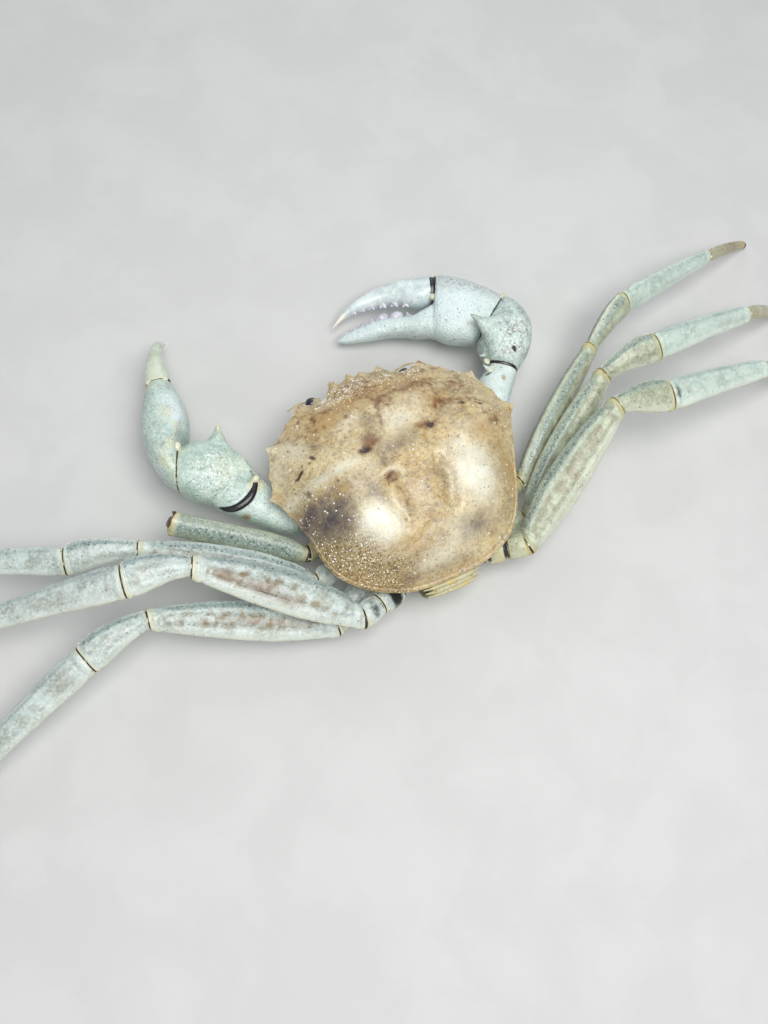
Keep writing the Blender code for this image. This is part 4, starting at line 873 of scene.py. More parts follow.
# %% Lean the right flank
LEAN = [(-40, 0), (-22, -1.0), (-10, -3.2), (8, -2.4), (16, -1.2), (25, 1.2), (37, 3.9), (46, 4.2), (54, 3.2),
        (60, 2.2), (66, 1.2)]


def leaned(spots):
    """The right flank stands out at its big tooth and draws in behind it, as in the picture."""
    draw = np.interp(spots[:, 1], [y for y, x in LEAN], [x for y, x in LEAN])
    return spots + np.outer(draw * soft(-spots[:, 0], 34, 62), (1, 0, 0))


set_points(carapace, leaned(spots))
settle(carapace, carapace_shell, "carapace_shell", "carapace")
print("flank leaned by up to", max(x for y, x in LEAN), "mm")

# %% [markdown]
# ## Breast plate
# Under the shield lie the side walls and the breast plate, with a seat for every limb. The levels of the
# solid are read as a smooth curve from the seam down to the belly and inward over it. Seats, mouth frame and
# the trough of the folded tail are pressed in by moving points, which keeps one closed skin.

# %% The limbs' seats, from the same numbers as the solids
LEG_LENGTHS = {3: (98, 37, 80, 63), 4: (100, 36, 80, 60), 5: (95, 34, 76, 57)}
LEG_BROAD = {2: 7.6, 3: 9.6, 4: 10.4, 5: 11.2}
LEG_THICK = {2: 5.6, 3: 5.6, 4: 5.8, 5: 5.8}
POSE = {
    (3, "left"): {"coxa": (45, 28, 13), "root": (67.7, 37.2, 19.5), "roll": 35,
                  "turns": ((-31.8, 10.6), (-14, 0), (-23.6, -7.2), (-23.6, None))},
    (4, "left"): {"coxa": (42, 46, 12), "root": (67.8, 63.4, 17), "roll": 16,
                  "turns": ((-24.2, 9.8), (11, -0.6), (21.6, -8.6), (21.6, None))},
    (5, "left"): {"coxa": (28, 58, 19), "root": (53.8, 66.4, 28.5), "roll": 15,
                  "turns": ((-37.4, 14.5), (-9.5, 4), (-11, -15.7), (-11, None))},
    (3, "right"): {"coxa": (45, 28, 13), "root": (67.8, 28.9, 20), "roll": 62,
                   "turns": ((-37.1, 7.6), (-29, 10.3), (-10.1, -7), (-10, None))},
    (4, "right"): {"coxa": (42, 46, 12), "root": (61.1, 51.2, 17.5), "roll": 34,
                   "turns": ((-37, 13.6), (-3.1, 12.3), (-2.1, -10.1), (-2.1, None))},
    (5, "right"): {"coxa": (28, 58, 19), "root": (50.3, 66, 28.5), "roll": 14,
                   "turns": ((-31.9, 16.6), (9.6, -3.5), (3, -9.2), (3, None))},
}


def leg_frame(number, side_name):
    """Joint points, segment headings and joint normals of one leg."""
    side = 1 if side_name == "left" else -1
    pose = POSE[(number, side_name)]
    flip = Vector((side, 1, 1))
    points = [Vector(pose["coxa"]) * flip, Vector(pose["root"]) * flip]
    headings = [(points[1] - points[0]).normalized()]
    for (sweep, rise), span in zip(pose["turns"], LEG_LENGTHS[number]):
        sweep = math.radians(sweep)
        flat = Vector((side * math.cos(sweep), math.sin(sweep), 0))
        if rise is None:
            run = math.sqrt(span ** 2 - points[-1].z ** 2)
            points.append(Vector((points[-1].x, points[-1].y, 0)) + flat * run)
            headings.append((points[-1] - points[-2]).normalized())
        else:
            rise = math.radians(rise)
            heading = flat * math.cos(rise) + Vector((0, 0, math.sin(rise)))
            points.append(points[-1] + heading * span)
            headings.append(heading)
    normals = [headings[0]] + [(a + b).normalized() for a, b in zip(headings, headings[1:])]
    return side, points, headings, normals


LEG_SEAT, SECOND_SEAT, CLAW_SEAT = 8.6, 8.0, 10.4
seats = []
for number, side_name in POSE:
    side, joints, headings, normals = leg_frame(number, side_name)
    seats.append((joints[0], normals[0], LEG_SEAT))
SECOND_LEG = {-1: (Vector((-45, 12, 14)), Vector((-62, 17, 19))), 1: (Vector((45, 12, 14)), Vector((66, 20, 21.5)))}
for side, (hip, root) in SECOND_LEG.items():
    seats.append((hip, (root - hip).normalized(), SECOND_SEAT))
    seats.append((Vector((side * 42, -5.5, 15)), Vector((side * 17, -1, 0)).normalized(), CLAW_SEAT))
print("seats:", len(seats))

# %% Levels of the breast plate
# From the seam to the middle of the belly: step, height, half width, front, rear.
LEVELS = [(0, 27.35, 51, -59, 61), (1, 20, 50, -56, 61), (2, 12, 46, -48, 58), (3, 5.5, 39, -39, 53),
          (4, 1.4, 32, -32, 47), (4.6, 0.1, 28.5, -29.4, 44.6), (5, 0, 27, -28, 43), (6, 0, 18, -18, 30),
          (7, 0, 9, -8, 16), (8, 0, 0.5, 3.5, 4.5)]
ROUND, MIDDLE_Y = 320, 4
levels = smooth_rows(LEVELS, np.concatenate([np.linspace(0, 4.6, 74), np.linspace(4.68, 8, 40)]))[:, 1:]
angle = 2 * np.pi * np.arange(ROUND) / ROUND
c, s = np.cos(angle), np.sin(angle)
wide = np.sign(c) * np.abs(c) ** 0.78
deep = np.sign(s) * np.abs(s) ** 0.78
rings = []
for z, half, front, rear in levels:
    y = MIDDLE_Y + np.where(deep > 0, deep * (rear - MIDDLE_Y), -deep * (front - MIDDLE_Y))
    rings.append(np.column_stack([wide * half, y, np.full(ROUND, max(z, 0.0))]))
grid = np.array(rings)
print("breast plate levels:", len(levels))

# %% Press in the seats, the mouth frame and the tail's trough, and part the plates
TAIL = [(70.5, 29, 15), (69.6, 22, 15.5), (66.5, 12, 15), (61.5, 5.5, 14), (53, 2.6, 12.5), (42, 2.1, 10.5),
        (28, 2.05, 8.6), (14, 2.05, 7.2), (2, 2.05, 6.0), (-6, 2.05, 4.6), (-10, 2.05, 2.6)]
px, py, pz = grid[..., 0], grid[..., 1], grid[..., 2]
bulge = bell(px, 0, 30) * soft(py, 40, 58) * soft(pz, 8, 16) * (1 - soft(pz, 24, 27.4))
py += bulge * 2.6
SUTURES = ((-19, -0.28), (-6, -0.1), (8, 0.06), (21, 0.2), (33, 0.38))
for y0, turn in SUTURES:
    line = py - y0 - turn * np.abs(px)
    pz += 1.3 * bell(line, 0, 1.1) * (1 - soft(pz, 9, 16)) * soft(np.abs(px), 5, 11)
pz += 0.8 * bell(np.abs(px), 29, 1.6) * (1 - soft(pz, 2, 6))
for point, heading, radius in seats:
    local = grid - np.array(point)
    along = local @ np.array(heading)
    off = np.linalg.norm(local - along[..., None] * np.array(heading), axis=-1)
    push = np.clip(along + 0.15, 0, None) * (1 - soft(off, radius, radius + 3.0))
    grid -= push[..., None] * np.array(heading)
    lip = bell(off, radius + 2.0, 1.2) * soft(along, -4, 2)
    grid += lip[..., None] * 0.5 * np.array(heading)
mouth_start = np.array((0, -34.5, 6.4))
mouth_along = np.array((0, -22.5, 15.5)) / np.hypot(22.5, 15.5)
mouth_out = np.array((0, -mouth_along[2], mouth_along[1]))
local = grid - mouth_start
ahead, out = local @ mouth_along, local @ mouth_out
push = np.clip(out, 0, None) * (1 - soft(np.abs(px), 16.5, 18.5)) * soft(ahead, -2, 0) * (1 - soft(ahead, 46, 50))
grid -= push[..., None] * mouth_out
tail_y, tail_z, tail_half = np.array(TAIL[::-1]).T
half_at = np.interp(py, tail_y, tail_half)
floor_at = np.interp(py, tail_y, tail_z) + 2.25
inside = (1 - soft(np.abs(px), half_at + 0.3, half_at + 1.0)) * soft(py, -11.4, -10.2) * (py < 62)
pz += np.clip(floor_at - pz, 0, None) * inside
breast = skin_over("breast_plate", grid)

# %% Relief and tints of the breast plate
spots = points_of(breast)
X, Y, Z = spots.T
wave = ripple(spots, 7.0, 3.0) * 0.22 * soft(Z, 0.5, 3)
set_points(breast, spots + normals_of(breast) * wave[:, None])
sutures = sum(bell(Y - y0 - turn * np.abs(X), 0, 0.7) for y0, turn in SUTURES)
sutures = sutures * (1 - soft(Z, 9, 15)) * soft(np.abs(X), 8, 14)
hollow = sum(1 - soft(np.linalg.norm(spots - np.array(p), axis=1), r - 1.0, r + 1.6) for p, h, r in seats)
seam = soft(Z, 24.5, 27)
paint(breast, "tints", np.column_stack([0.5 * soft(Z, 8, 22) + 0.3 * seam, 0.7 * sutures + 0.4 * hollow,
                                        0.9 * hollow + 0.35 * sutures + 0.5 * seam]))
settle(breast, breast_shell, "breast_shell", "thorax")
print("breast plate points:", len(spots))

# %% [markdown]
# ## Folded tail
# A crab's abdomen is a flat strip of plates folded under the body. It is one tube along its path, and the
# seams between its plates are rings where the section draws in, so the plates stay one closed skin.


# %% Stretch a tube along a path
def tube(name, points, headings, face, halves, power=2.3, count=48, relief=None, tints=None):
    """Skin over sections that stand square to the path. relief(share, angle) is in millimetres outward."""
    points, halves = np.array([tuple(p) for p in points]), np.array(halves, float)
    angle, x, y = squared_circle(count, power)
    rows = len(points)
    run = np.concatenate([[0], np.cumsum(np.linalg.norm(np.diff(points, axis=0), axis=1))])
    share = np.repeat((run / run[-1])[:, None], count, axis=1)
    turn = np.repeat(angle[None], rows, axis=0)
    rise = relief(share, turn) if relief else np.zeros((rows, count))
    grid = np.empty((rows, count, 3))
    for k in range(rows):
        heading = Vector(headings[k]).normalized()
        through = (face - heading * face.dot(heading)).normalized()
        broad = heading.cross(through)
        hb, ht = halves[k]
        out = np.stack([x / hb, y / ht], -1)
        out /= np.linalg.norm(out, axis=1)[:, None]
        u = x * hb + out[:, 0] * rise[k]
        v = y * ht + out[:, 1] * rise[k]
        grid[k] = points[k] + np.outer(u, np.array(broad)) + np.outer(v, np.array(through))
    return skin_over(name, grid, tints(share, turn) if tints else None)


# %% Plates of the folded tail
SEAMS = (0.045, 0.1, 0.17, 0.27, 0.4, 0.53, 0.68, 0.84)
TAIL_STEPS, HALF_THICK = 150, 1.84


def tail_relief(share, turn):
    """Creases at the seams, and plates that swell along the middle."""
    cut = sum(bell(share, at, 0.008) for at in SEAMS)
    swell = sum(bell(share, at + 0.05, 0.03) for at in SEAMS)
    middle = bell(np.cos(turn), 0, 0.3)
    return -0.95 * cut + 0.3 * swell * middle - 0.15 * bell(np.abs(np.cos(turn)), 0.6, 0.06)


def tail_tints(share, _):
    """Rusty creases with painted shade in them, which is darkest near the root."""
    cut = sum(bell(share, at, 0.010) for at in SEAMS)
    return np.stack([0.25 + 0 * share, 0.5 * cut, 0.3 * cut * (1 - soft(share, 0.3, 0.5)) + 0.25 * cut], -1)


rows = [(k, *row) for k, row in enumerate(TAIL)]
fine = smooth_rows(rows, np.linspace(0, len(TAIL) - 1, TAIL_STEPS))[:, 1:]
path = [Vector((0, y, max(z, 2.05))) for y, z, half in fine]
halves = [(half * (1 - 0.12 * bell(k, 0, 3) - 0.2 * bell(k, TAIL_STEPS - 1, 4)), HALF_THICK)
          for k, (y, z, half) in enumerate(fine)]
tail = tube("folded_tail", path, facing(path), Vector((0, 1, -0.4)), halves, 3.0, 64, tail_relief, tail_tints)
settle(tail, breast_shell, "breast_shell", "abdomen")
print("tail plates:", len(SEAMS) - 1)

# %% [markdown]
# ## Eyes
# Each eye is a short stalk that lies along its orbit and swells into a dark oval cornea, with a cream arch of
# stalk shell over the top. Stalk and cornea are two pieces, because they are two finishes.

# %% Stalks and corneas
# Distance along the eye, radius.
CORNEA = [(6.9, 2.7), (8, 3.25), (10.2, 3.72), (12.4, 3.3), (13.8, 2.2), (14.4, 0.9)]
STALK = [(0.3, 2.3), (3, 2.15), (6, 2.5), (7.4, 3.0), (8.0, 3.3), (8.3, 3.1)]
SET_BACK = {"left": 2.0, "right": 5.0}
EYE_STEPS, ARCH_STEPS = 30, 24
SIDES = (("left", 1), ("right", -1))
UPRIGHT = Vector((0, 0, 1))


def eye_part(name, start, axis, rows, broad, through, count, tints=None):
    """A round tube along the eye's axis; broad and through scale its radii."""
    rows = smooth_rows(rows, np.linspace(rows[0][0], rows[-1][0], EYE_STEPS))
    return tube(name, [start + axis * at for at, r in rows], [axis] * EYE_STEPS, UPRIGHT,
                [(r * broad, r * through) for at, r in rows], 2.0, count, tints=tints)


for side_name, side in SIDES:
    flip = np.array((side, 1, 1))
    start, end = Vector(tuple(eye_root * flip)), Vector(tuple(eye_end * flip))
    axis = (end - start).normalized()
    start.y += SET_BACK[side_name]
    ball = eye_part("eye_cornea_" + side_name, start, axis, CORNEA, 1.0, 0.92, 32,
                    lambda share, _: np.zeros(share.shape + (3,)))
    settle(ball, cornea, "eye_cornea", "eye_" + side_name)
    stalk = eye_part("stalk", start, axis, STALK, 1.02, 0.95, 28)
    shares = [k / (ARCH_STEPS - 1) for k in range(ARCH_STEPS)]
    arch = [start + axis * (6.0 + 6.6 * t) + UPRIGHT * (3.3 * (1 - 0.35 * t * t) - 0.35) for t in shares]
    halves = [(2.6 * (1 - 0.66 * t ** 2), 0.85) for t in shares]
    bend = tube("arch", arch, [axis] * ARCH_STEPS, UPRIGHT, halves, 2.2, 20)
    whole = fused("eye_stalk_" + side_name, [stalk, bend], 0.22, 4)
    near = np.linalg.norm(points_of(whole) - np.array(start), axis=1)
    paint(whole, "tints", np.column_stack([0.4 * soft(near, 3, 8), 0.3 * (1 - soft(near, 0, 3)),
                                           0.5 * (1 - soft(near, 0, 2))]))
    settle(whole, stalk_shell, "feeler_shell")
print("eye pieces:", made_pieces[-4:])

# %% [markdown]
# ## Feelers
# The second antenna is a peduncle of three joints and a whip; the first is folded under the brow. Both are
# tubes along a path, drawn in at each joint and ringed along the whip.

# %% Antennae and antennules
# Place, radius.
FEELERS = {
    "antenna": [((18.6, -56.2, 24.4), 2.0), ((19.6, -58.4, 24.2), 2.0), ((21.6, -60.6, 24.4), 1.5),
                ((23.6, -62.2, 25), 1.2), ((26, -63.4, 25.6), 0.8), ((31, -64.8, 26.2), 0.6),
                ((37, -65, 26.4), 0.5), ((43, -63.6, 26), 0.36)],
    "antennule": [((7, -57.6, 24.8), 2.0), ((7, -59.6, 25.0), 2.2), ((7.6, -61.6, 25.8), 1.8),
                  ((9.4, -63, 26.6), 1.3), ((12, -63.2, 27.8), 1.0), ((14.4, -62.8, 28.4), 0.5)],
}
FEELER_JOINTS, FEELER_STEPS = (0.12, 0.24, 0.36), 110


def feeler_relief(share, _):
    """Drawn in at the three joints, and finely ringed along the whip."""
    joints = sum(bell(share, at, 0.012) for at in FEELER_JOINTS)
    return -0.22 * joints - 0.05 * np.sin(share * 260) * soft(share, 0.4, 0.45)


def feeler_tints(share, _):
    """Rusty joints and a darker whip."""
    joints = sum(bell(share, at, 0.02) for at in FEELER_JOINTS)
    return np.stack([0.3 + 0 * share, 0.5 * joints, 0.3 * soft(share, 0.6, 1)], -1)


for kind, drawn in FEELERS.items():
    for side_name, side in SIDES:
        rows = smooth_rows([(k, x * side, y, z, r) for k, ((x, y, z), r) in enumerate(drawn)],
                           np.linspace(0, len(drawn) - 1, FEELER_STEPS))[:, 1:]
        path = [Vector(row[:3]) for row in rows]
        feeler = tube(kind + "_" + side_name + "_shell", path, facing(path), UPRIGHT,
                      [(r, r * 0.92) for r in rows[:, 3]], 2.0, 20, feeler_relief, feeler_tints)
        settle(feeler, feeler_shell, "feeler_shell", kind + "_" + side_name)
print("feelers:", made_pieces[-4:])

# %% [markdown]
# ## Mouthparts
# Two broad plates, the third maxillipeds, close the mouth like doors, each with a squarish outer plate and a
# folded palp. They are melted from a plate and a tube on the slanted mouth frame.


# %% Third maxillipeds
# Plate: distance along the mouth, inner edge, outer edge, height. Palp: along, across, above, radius.
MOUTH_PLATE = [(0.8, 3.4, 12.4, 2.6), (4, 1.0, 14.2, 3.6), (12, 0.7, 15.2, 3.8), (18.2, 0.9, 15.4, 3.4),
               (19.2, 1.5, 15.2, 2.6), (20.4, 1.5, 15.2, 3.2), (23.6, 2.0, 14.8, 3.4), (26.2, 4.0, 12.6, 2.4)]
PALP = [(24.2, 5.6, 3.0, 1.8), (23.6, 5.0, 4.2, 2.1), (21, 4.2, 4.7, 1.8), (18, 3.5, 4.8, 1.4), (14, 3.2, 4.6, 0.7)]
PLATE_END = 18.6


def on_mouth(share, x, lift):
    """A place on the slanted mouth frame, from the distance along it, across it and above it."""
    return mouth_start + mouth_along * share + np.array((x, 0, 0)) + mouth_out * (0.3 + lift)


def make_mouth_plate(side):
    """One door of the mouth: a squarish plate with two grooves, and a folded palp."""
    grid = []
    for share, inner, outer, lift in smooth_rows(MOUTH_PLATE, np.linspace(0.8, 26.2, 60)):
        middle, half = (inner + outer) / 2, (outer - inner) / 2
        ring = []
        for a in np.linspace(0, 2 * np.pi, 40, endpoint=False):
            u, v = math.cos(a), math.sin(a)
            x = middle + half * math.copysign(abs(u) ** 0.6, u)
            up = lift * (0.5 + 0.5 * math.copysign(abs(v) ** 0.7, v))
            if share < PLATE_END and v > 0:
                up -= 0.5 * math.exp(-((x - inner - 3.6) / 0.9) ** 2) + 0.8 * math.exp(-((x - outer + 3.4) / 0.5) ** 2)
            ring.append(on_mouth(share, side * x, up))
        grid.append(ring)
    plate = skin_over("plate", np.array(grid))
    rows = smooth_rows([(k, *on_mouth(share, side * x, lift), r) for k, (share, x, lift, r) in enumerate(PALP)],
                       np.linspace(0, 4, 30))[:, 1:]
    path = [Vector(row[:3]) for row in rows]
    palp = tube("palp", path, facing(path), Vector((1, 0, 0)), [(r, r * 0.9) for r in rows[:, 3]], 2.0, 20)
    return fused("mouth_plate", [plate, palp], 0.32, 3)


for side_name, side in SIDES:
    plate = make_mouth_plate(side)
    plate.name = "maxilliped_%s_shell" % side_name
    spots = points_of(plate)
    ahead = (spots - mouth_start) @ mouth_along
    lift = (spots - mouth_start) @ mouth_out
    line = bell(ahead, 18.9, 0.5)
    paint(plate, "tints", np.column_stack([0.35 * soft(lift, 1, 4), 0.6 * line + 0.3 * (1 - soft(lift, 0.6, 2)),
                                           0.5 * line]))
    settle(plate, mouth_shell, "mouthpart_shell", "maxilliped_" + side_name)
print("mouth plates made:", made_pieces[-2:])

# %% [markdown]
# ## Claws
# Every segment of a claw is known by pairs of edge points seen from above, with the height of the middle and
# half the thickness. The pairs are read as smooth curves and skinned; fingers, spines and knobs are then
# melted in, so that a spine flares out of the wrist as it does on the animal.

# %% Edge pairs of both claws, the same numbers as the solids
CLAWS = {
    "right": {
        "coxa": [((-42.5, 3), (-41.5, -14), 15, 7), ((-47, 3.4), (-44, -13), 15.6, 7.6),
                 ((-53, 3), (-46.5, -10.5), 16.3, 7.0), ((-58, 2), (-50, -9), 16.8, 6.3)],
        "merus": [((-58, 2), (-50, -9), 16.8, 6.5), ((-66, -3), (-56, -18), 18, 7.8),
                  ((-77.5, -12), (-64.5, -29), 20.5, 8.6), ((-88, -24), (-73, -39), 23.6, 8.8),
                  ((-93.6, -31), (-79, -43), 25.6, 8.6), ((-96.3, -34.6), (-82.7, -45.4), 26.6, 8.0)],
        "carpus": [((-96.3, -34.6), (-82.7, -45.4), 26.6, 8.2), ((-103.5, -39), (-81.6, -48.5), 27.2, 10.6),
                   ((-112.5, -47.4), (-81.2, -55.5), 28, 12.4), ((-117.6, -56.5), (-82.2, -59.6), 28.2, 13),
                   ((-119.4, -66.5), (-85.4, -62.8), 28, 12.4), ((-117.6, -77), (-87.6, -65), 27, 11.2),
                   ((-112.8, -84.4), (-88.6, -66.6), 26, 9.6)],
        "palm": [((-112.8, -84.4), (-88.6, -66.6), 26, 9.6), ((-107, -93.5), (-85.2, -65.8), 25, 11.2),
                 ((-100, -102.4), (-82.4, -65), 23.4, 12.8), ((-91, -110.4), (-75.6, -67.8), 21.8, 13.5),
                 ((-85.6, -114.8), (-68, -72.6), 20.4, 13), ((-81, -118), (-61.5, -80.8), 19.2, 11.2)],
        "fixed": [((-76, -100), (-68, -76), 19.8, 9.5), ((-63.8, -98.4), (-58.4, -82.2), 18, 9),
                  ((-58.6, -97.8), (-54.6, -83.8), 17, 8.5), ((-49, -101), (-46.7, -88.9), 15.5, 7.6),
                  ((-40, -104), (-37.6, -92.6), 14, 6.6), ((-31, -105.4), (-28, -95.3), 12.5, 5.4),
                  ((-22, -106), (-19.2, -97.9), 11, 4), ((-14, -106), (-12, -100.8), 9.5, 2.6),
                  ((-8.4, -105), (-7.6, -103.6), 8.4, 0.8)],
        "finger": [((-81, -118), (-72.9, -102.6), 20, 8.6), ((-75.6, -119.6), (-67.4, -101.6), 19.4, 9),
                   ((-67.7, -122.4), (-61, -103.6), 18.4, 8.4), ((-58, -125), (-55.6, -108.4), 17, 7.6),
                   ((-48, -126), (-47.4, -112.6), 15.6, 6.8), ((-37, -125.6), (-36.4, -115.6), 14, 5.6),
                   ((-27, -123.6), (-27.4, -117), 12.4, 4.2), ((-19.3, -121), (-20.6, -116.8), 11, 2.8),
                   ((-13.4, -117.6), (-14.8, -115.4), 10, 1.7), ((-9, -114.4), (-9.8, -113.6), 9, 0.6)],
        "fixed_teeth": [((-54.6, -99.2), 17, 2.7), ((-47.4, -102), 16, 3.9), ((-39.6, -105.2), 14.4, 3.2),
                        ((-32.6, -106), 13, 2.5), ((-26.4, -106.4), 12, 2.1), ((-20.4, -106.4), 11, 1.8),
                        ((-15, -106), 10, 1.5)],
        "finger_teeth": [((-57, -107.4), 17.4, 1.7), ((-51, -111), 16.4, 2.1), ((-44, -113.4), 15.2, 2),
                         ((-37, -115.4), 14.2, 1.8), ((-31, -116.4), 13.2, 1.5), ((-25.4, -117), 12.2, 1.3)],
        "spines": [((-91.5, -62, 37.5), (-79.4, -73.9, 43.5), 7.2), ((-84.6, -50, 30), (-76.6, -51.6, 32.4), 2.6),
                   ((-79.5, -41, 31), (-75.4, -44.4, 35), 2.4)],
    },
    "left": {
        "coxa": [((42.5, 3), (41.5, -14), 15, 7), ((47, 4.2), (44, -12.6), 15.5, 7.6),
                 ((53, 5.2), (46.6, -9.4), 16, 7.0), ((58.5, 5.5), (50.5, -6.5), 16.5, 6.3)],
        "merus": [((58.5, 5.5), (50.5, -6.5), 16.5, 6.5), ((68, 5), (59, -13), 17.6, 8.2),
                  ((82, -5), (67.5, -23.5), 20.6, 9.4), ((95, -15.6), (72.5, -29.6), 24, 10.3),
                  ((100.5, -20.6), (74.2, -30.6), 25.4, 10.8), ((104.6, -25.4), (77.4, -32.2), 27, 10.4)],
        "carpus": [((104.6, -25.4), (77.4, -32.2), 27, 10.6), ((110.5, -29.6), (79, -42), 28.2, 13),
                   ((114.6, -34), (84.4, -54), 29, 14.2), ((116.8, -37), (96.4, -61.4), 29.2, 14.4),
                   ((118.2, -39.6), (108.8, -62.2), 29, 13.4)],
        "palm": [((118.2, -39.6), (108.8, -62.2), 29, 13.6), ((124, -50), (106.4, -66.4), 29, 16),
                 ((126.6, -62), (101.4, -70.6), 28.6, 17.2), ((125.6, -76), (98, -78), 28, 17.6),
                 ((121.4, -90), (97, -88.6), 27.4, 16.8), ((113.4, -104.6), (98.8, -102.7), 26.6, 14.6)],
        "fixed": [((115, -99), (101, -97.4), 19.4, 8), ((110.8, -108.6), (100, -107.2), 18, 6.4),
                  ((107, -119), (98.6, -117.6), 14.4, 5.2), ((103.4, -127.6), (98.6, -126), 10.6, 3.8),
                  ((101, -134), (98, -132.2), 7, 2.4), ((97.6, -138), (96.4, -137.2), 4.4, 0.8)],
        "finger": [((113.4, -104.6), (98.8, -102.7), 34, 6.6), ((111, -112), (98.2, -110.4), 33, 6.6),
                   ((107.4, -120.6), (97.8, -119.4), 30, 5.8), ((103.4, -129), (96.6, -127.4), 25.4, 4.8),
                   ((100, -135.6), (95, -133.6), 20, 3.6), ((96.4, -140), (93.4, -138.4), 14, 2.3),
                   ((92.4, -142), (91.4, -141.4), 8.4, 0.7)],
        "fixed_teeth": [((105, -112.5), 22.4, 2.0), ((103, -119), 18.2, 1.7), ((101.6, -125), 14.2, 1.4)],
        "finger_teeth": [((104.6, -114), 27.4, 1.8), ((102.2, -121.4), 25, 1.7), ((99.8, -128), 21.6, 1.5)],
        "spines": [((91.4, -50, 33), (84, -65, 41), 9.4), ((83.5, -40, 30), (80.6, -43.0, 32), 2.4),
                   ((77.4, -26.8, 32), (74.4, -29.6, 34.6), 2.0)],
    },
}


# %% Skin over edge pairs
def edge_skin(name, rows, joints, power, count, steps):
    """A tube whose sections run from edge to edge; joints tells which ends are upright joint faces."""
    flat = np.array([(a[0], a[1], b[0], b[1], z, half) for a, b, z, half in rows], float)
    middle = np.column_stack([(flat[:, 0] + flat[:, 2]) / 2, (flat[:, 1] + flat[:, 3]) / 2, flat[:, 4]])
    run = np.concatenate([[0], np.cumsum(np.linalg.norm(np.diff(middle, axis=0), axis=1))])
    fine = smooth_rows(np.column_stack([run, flat]), run[-1] * eased(steps))
    at, fine = fine[:, 0], fine[:, 1:]
    middle = np.column_stack([(fine[:, 0] + fine[:, 2]) / 2, (fine[:, 1] + fine[:, 3]) / 2, fine[:, 4]])
    heading = np.gradient(middle, np.maximum.accumulate(at + 1e-9 * np.arange(steps)), axis=0)
    level = np.ones(steps)
    if joints[0]:
        level *= soft(at, 0, 4)
    if joints[1]:
        level *= soft(run[-1] - at, 0, 4)
    heading[:, 2] *= level
    _, x, y = squared_circle(count, power)
    grid = np.empty((steps, count, 3))
    for k in range(steps):
        broad = np.array((fine[k, 0] - fine[k, 2], fine[k, 1] - fine[k, 3], 0.0))
        reach = np.linalg.norm(broad) / 2
        broad /= 2 * reach
        head = heading[k] - broad * (heading[k] @ broad)
        head /= np.linalg.norm(head)
        centre = middle[k] + head * (0.15 * (joints[0] and k == 0) - 0.15 * (joints[1] and k == steps - 1))
        grid[k] = centre + np.outer(x * reach, broad) + np.outer(y * fine[k, 5], np.cross(broad, head))
    return skin_over(name, grid)


def joint_face(row, after):
    """Middle, heading, broad axis and half sizes of an upright joint face; after is the next row beyond it."""
    (a, b, z, half), (c, d) = row, after[:2]
    middle = np.array(((a[0] + b[0]) / 2, (a[1] + b[1]) / 2, z))
    broad = np.array((a[0] - b[0], a[1] - b[1], 0.0))
    reach = np.linalg.norm(broad) / 2
    broad /= 2 * reach
    ahead = np.array(((c[0] + d[0]) / 2, (c[1] + d[1]) / 2, z)) - middle
    ahead -= broad * (ahead @ broad)
    return middle, ahead / np.linalg.norm(ahead), broad, reach, half


# %% Crust and tints of a claw's segment
def crusted(piece, amount, seed):
    """Low lumps and grains, stronger on what faces up."""
    spots, out = points_of(piece), normals_of(piece)
    up = 0.45 + 0.55 * soft(out[:, 2], -0.2, 0.7)
    wave = 0.34 * ripple(spots, 8.0, seed) + 0.2 * np.abs(ripple(spots, 2.4, seed + 1, 3))
    set_points(piece, spots + out * (wave * up * amount)[:, None])
    return spots, out


def claw_tints(spots, out, faces, crust, seed):
    """Ochre crust on top, yellow rims and thin black lines at the joint faces."""
    ochre = crust * soft(out[:, 2], 0.1, 0.8) * soft(ripple(spots, 13.0, seed), -0.15, 0.4)
    dark = np.zeros(len(spots))
    for middle, ahead, _, reach, _ in faces:
        far = np.abs((spots - middle) @ ahead)
        near = np.linalg.norm(spots - middle, axis=1) < reach * 1.12 + 1
        ochre = np.maximum(ochre, near * 0.6 * bell(far, 0, 2.4))
        line = 0.5 + 0.5 * soft(ripple(spots, 3.0, seed + 9), -0.3, 0.3)
        dark = np.maximum(dark, near * line * bell(far, 0, 0.5))
    rust = 0.25 * soft(ripple(spots, 6.0, seed + 4), 0.25, 0.6)
    return np.column_stack([ochre, rust, dark])


def stain(spots, tints, channel, centre, size, strength):
    """Add a soft round mark to the tints of a piece; the channels are ochre, rust and dark."""
    tints[:, channel] = np.maximum(tints[:, channel], strength * egg(spots, centre, size, 2.4))


# %% [markdown]
# ## What lies between the hard segments
# Each joint shows a dark ring of soft skin between two rims and turns on small cream knobs, and the fingers
# bite with blunt teeth. These small shapes are made as each claw is built, and are joined at the end.

# %% Soft skin, knobs and teeth
membrane_parts, knob_parts, tooth_parts = [], [], []


def add_membrane(middle, ahead, broad, reach, half, length, swell, power):
    """A dark soft ring that fills a joint between two hard rims."""
    through = np.cross(broad, ahead)
    _, x, y = squared_circle(32, power)
    rings = []
    for t in np.linspace(-1, 1, 9):
        wide = 0.84 + 0.1 * (1 - t * t)
        bulge = swell * (1 - t * t)
        rings.append(middle + ahead * t * length + np.outer(x * (reach * wide + bulge), broad)
                     + np.outer(y * (half * wide + bulge), through))
    membrane_parts.append(skin_over("membrane", np.array(rings)))


def add_strip(way, halves, power=2.0, count=24, face=UPRIGHT):
    """A strip of dark soft skin along a path."""
    membrane_parts.append(tube("strip", way, facing(way), face, halves, power, count))


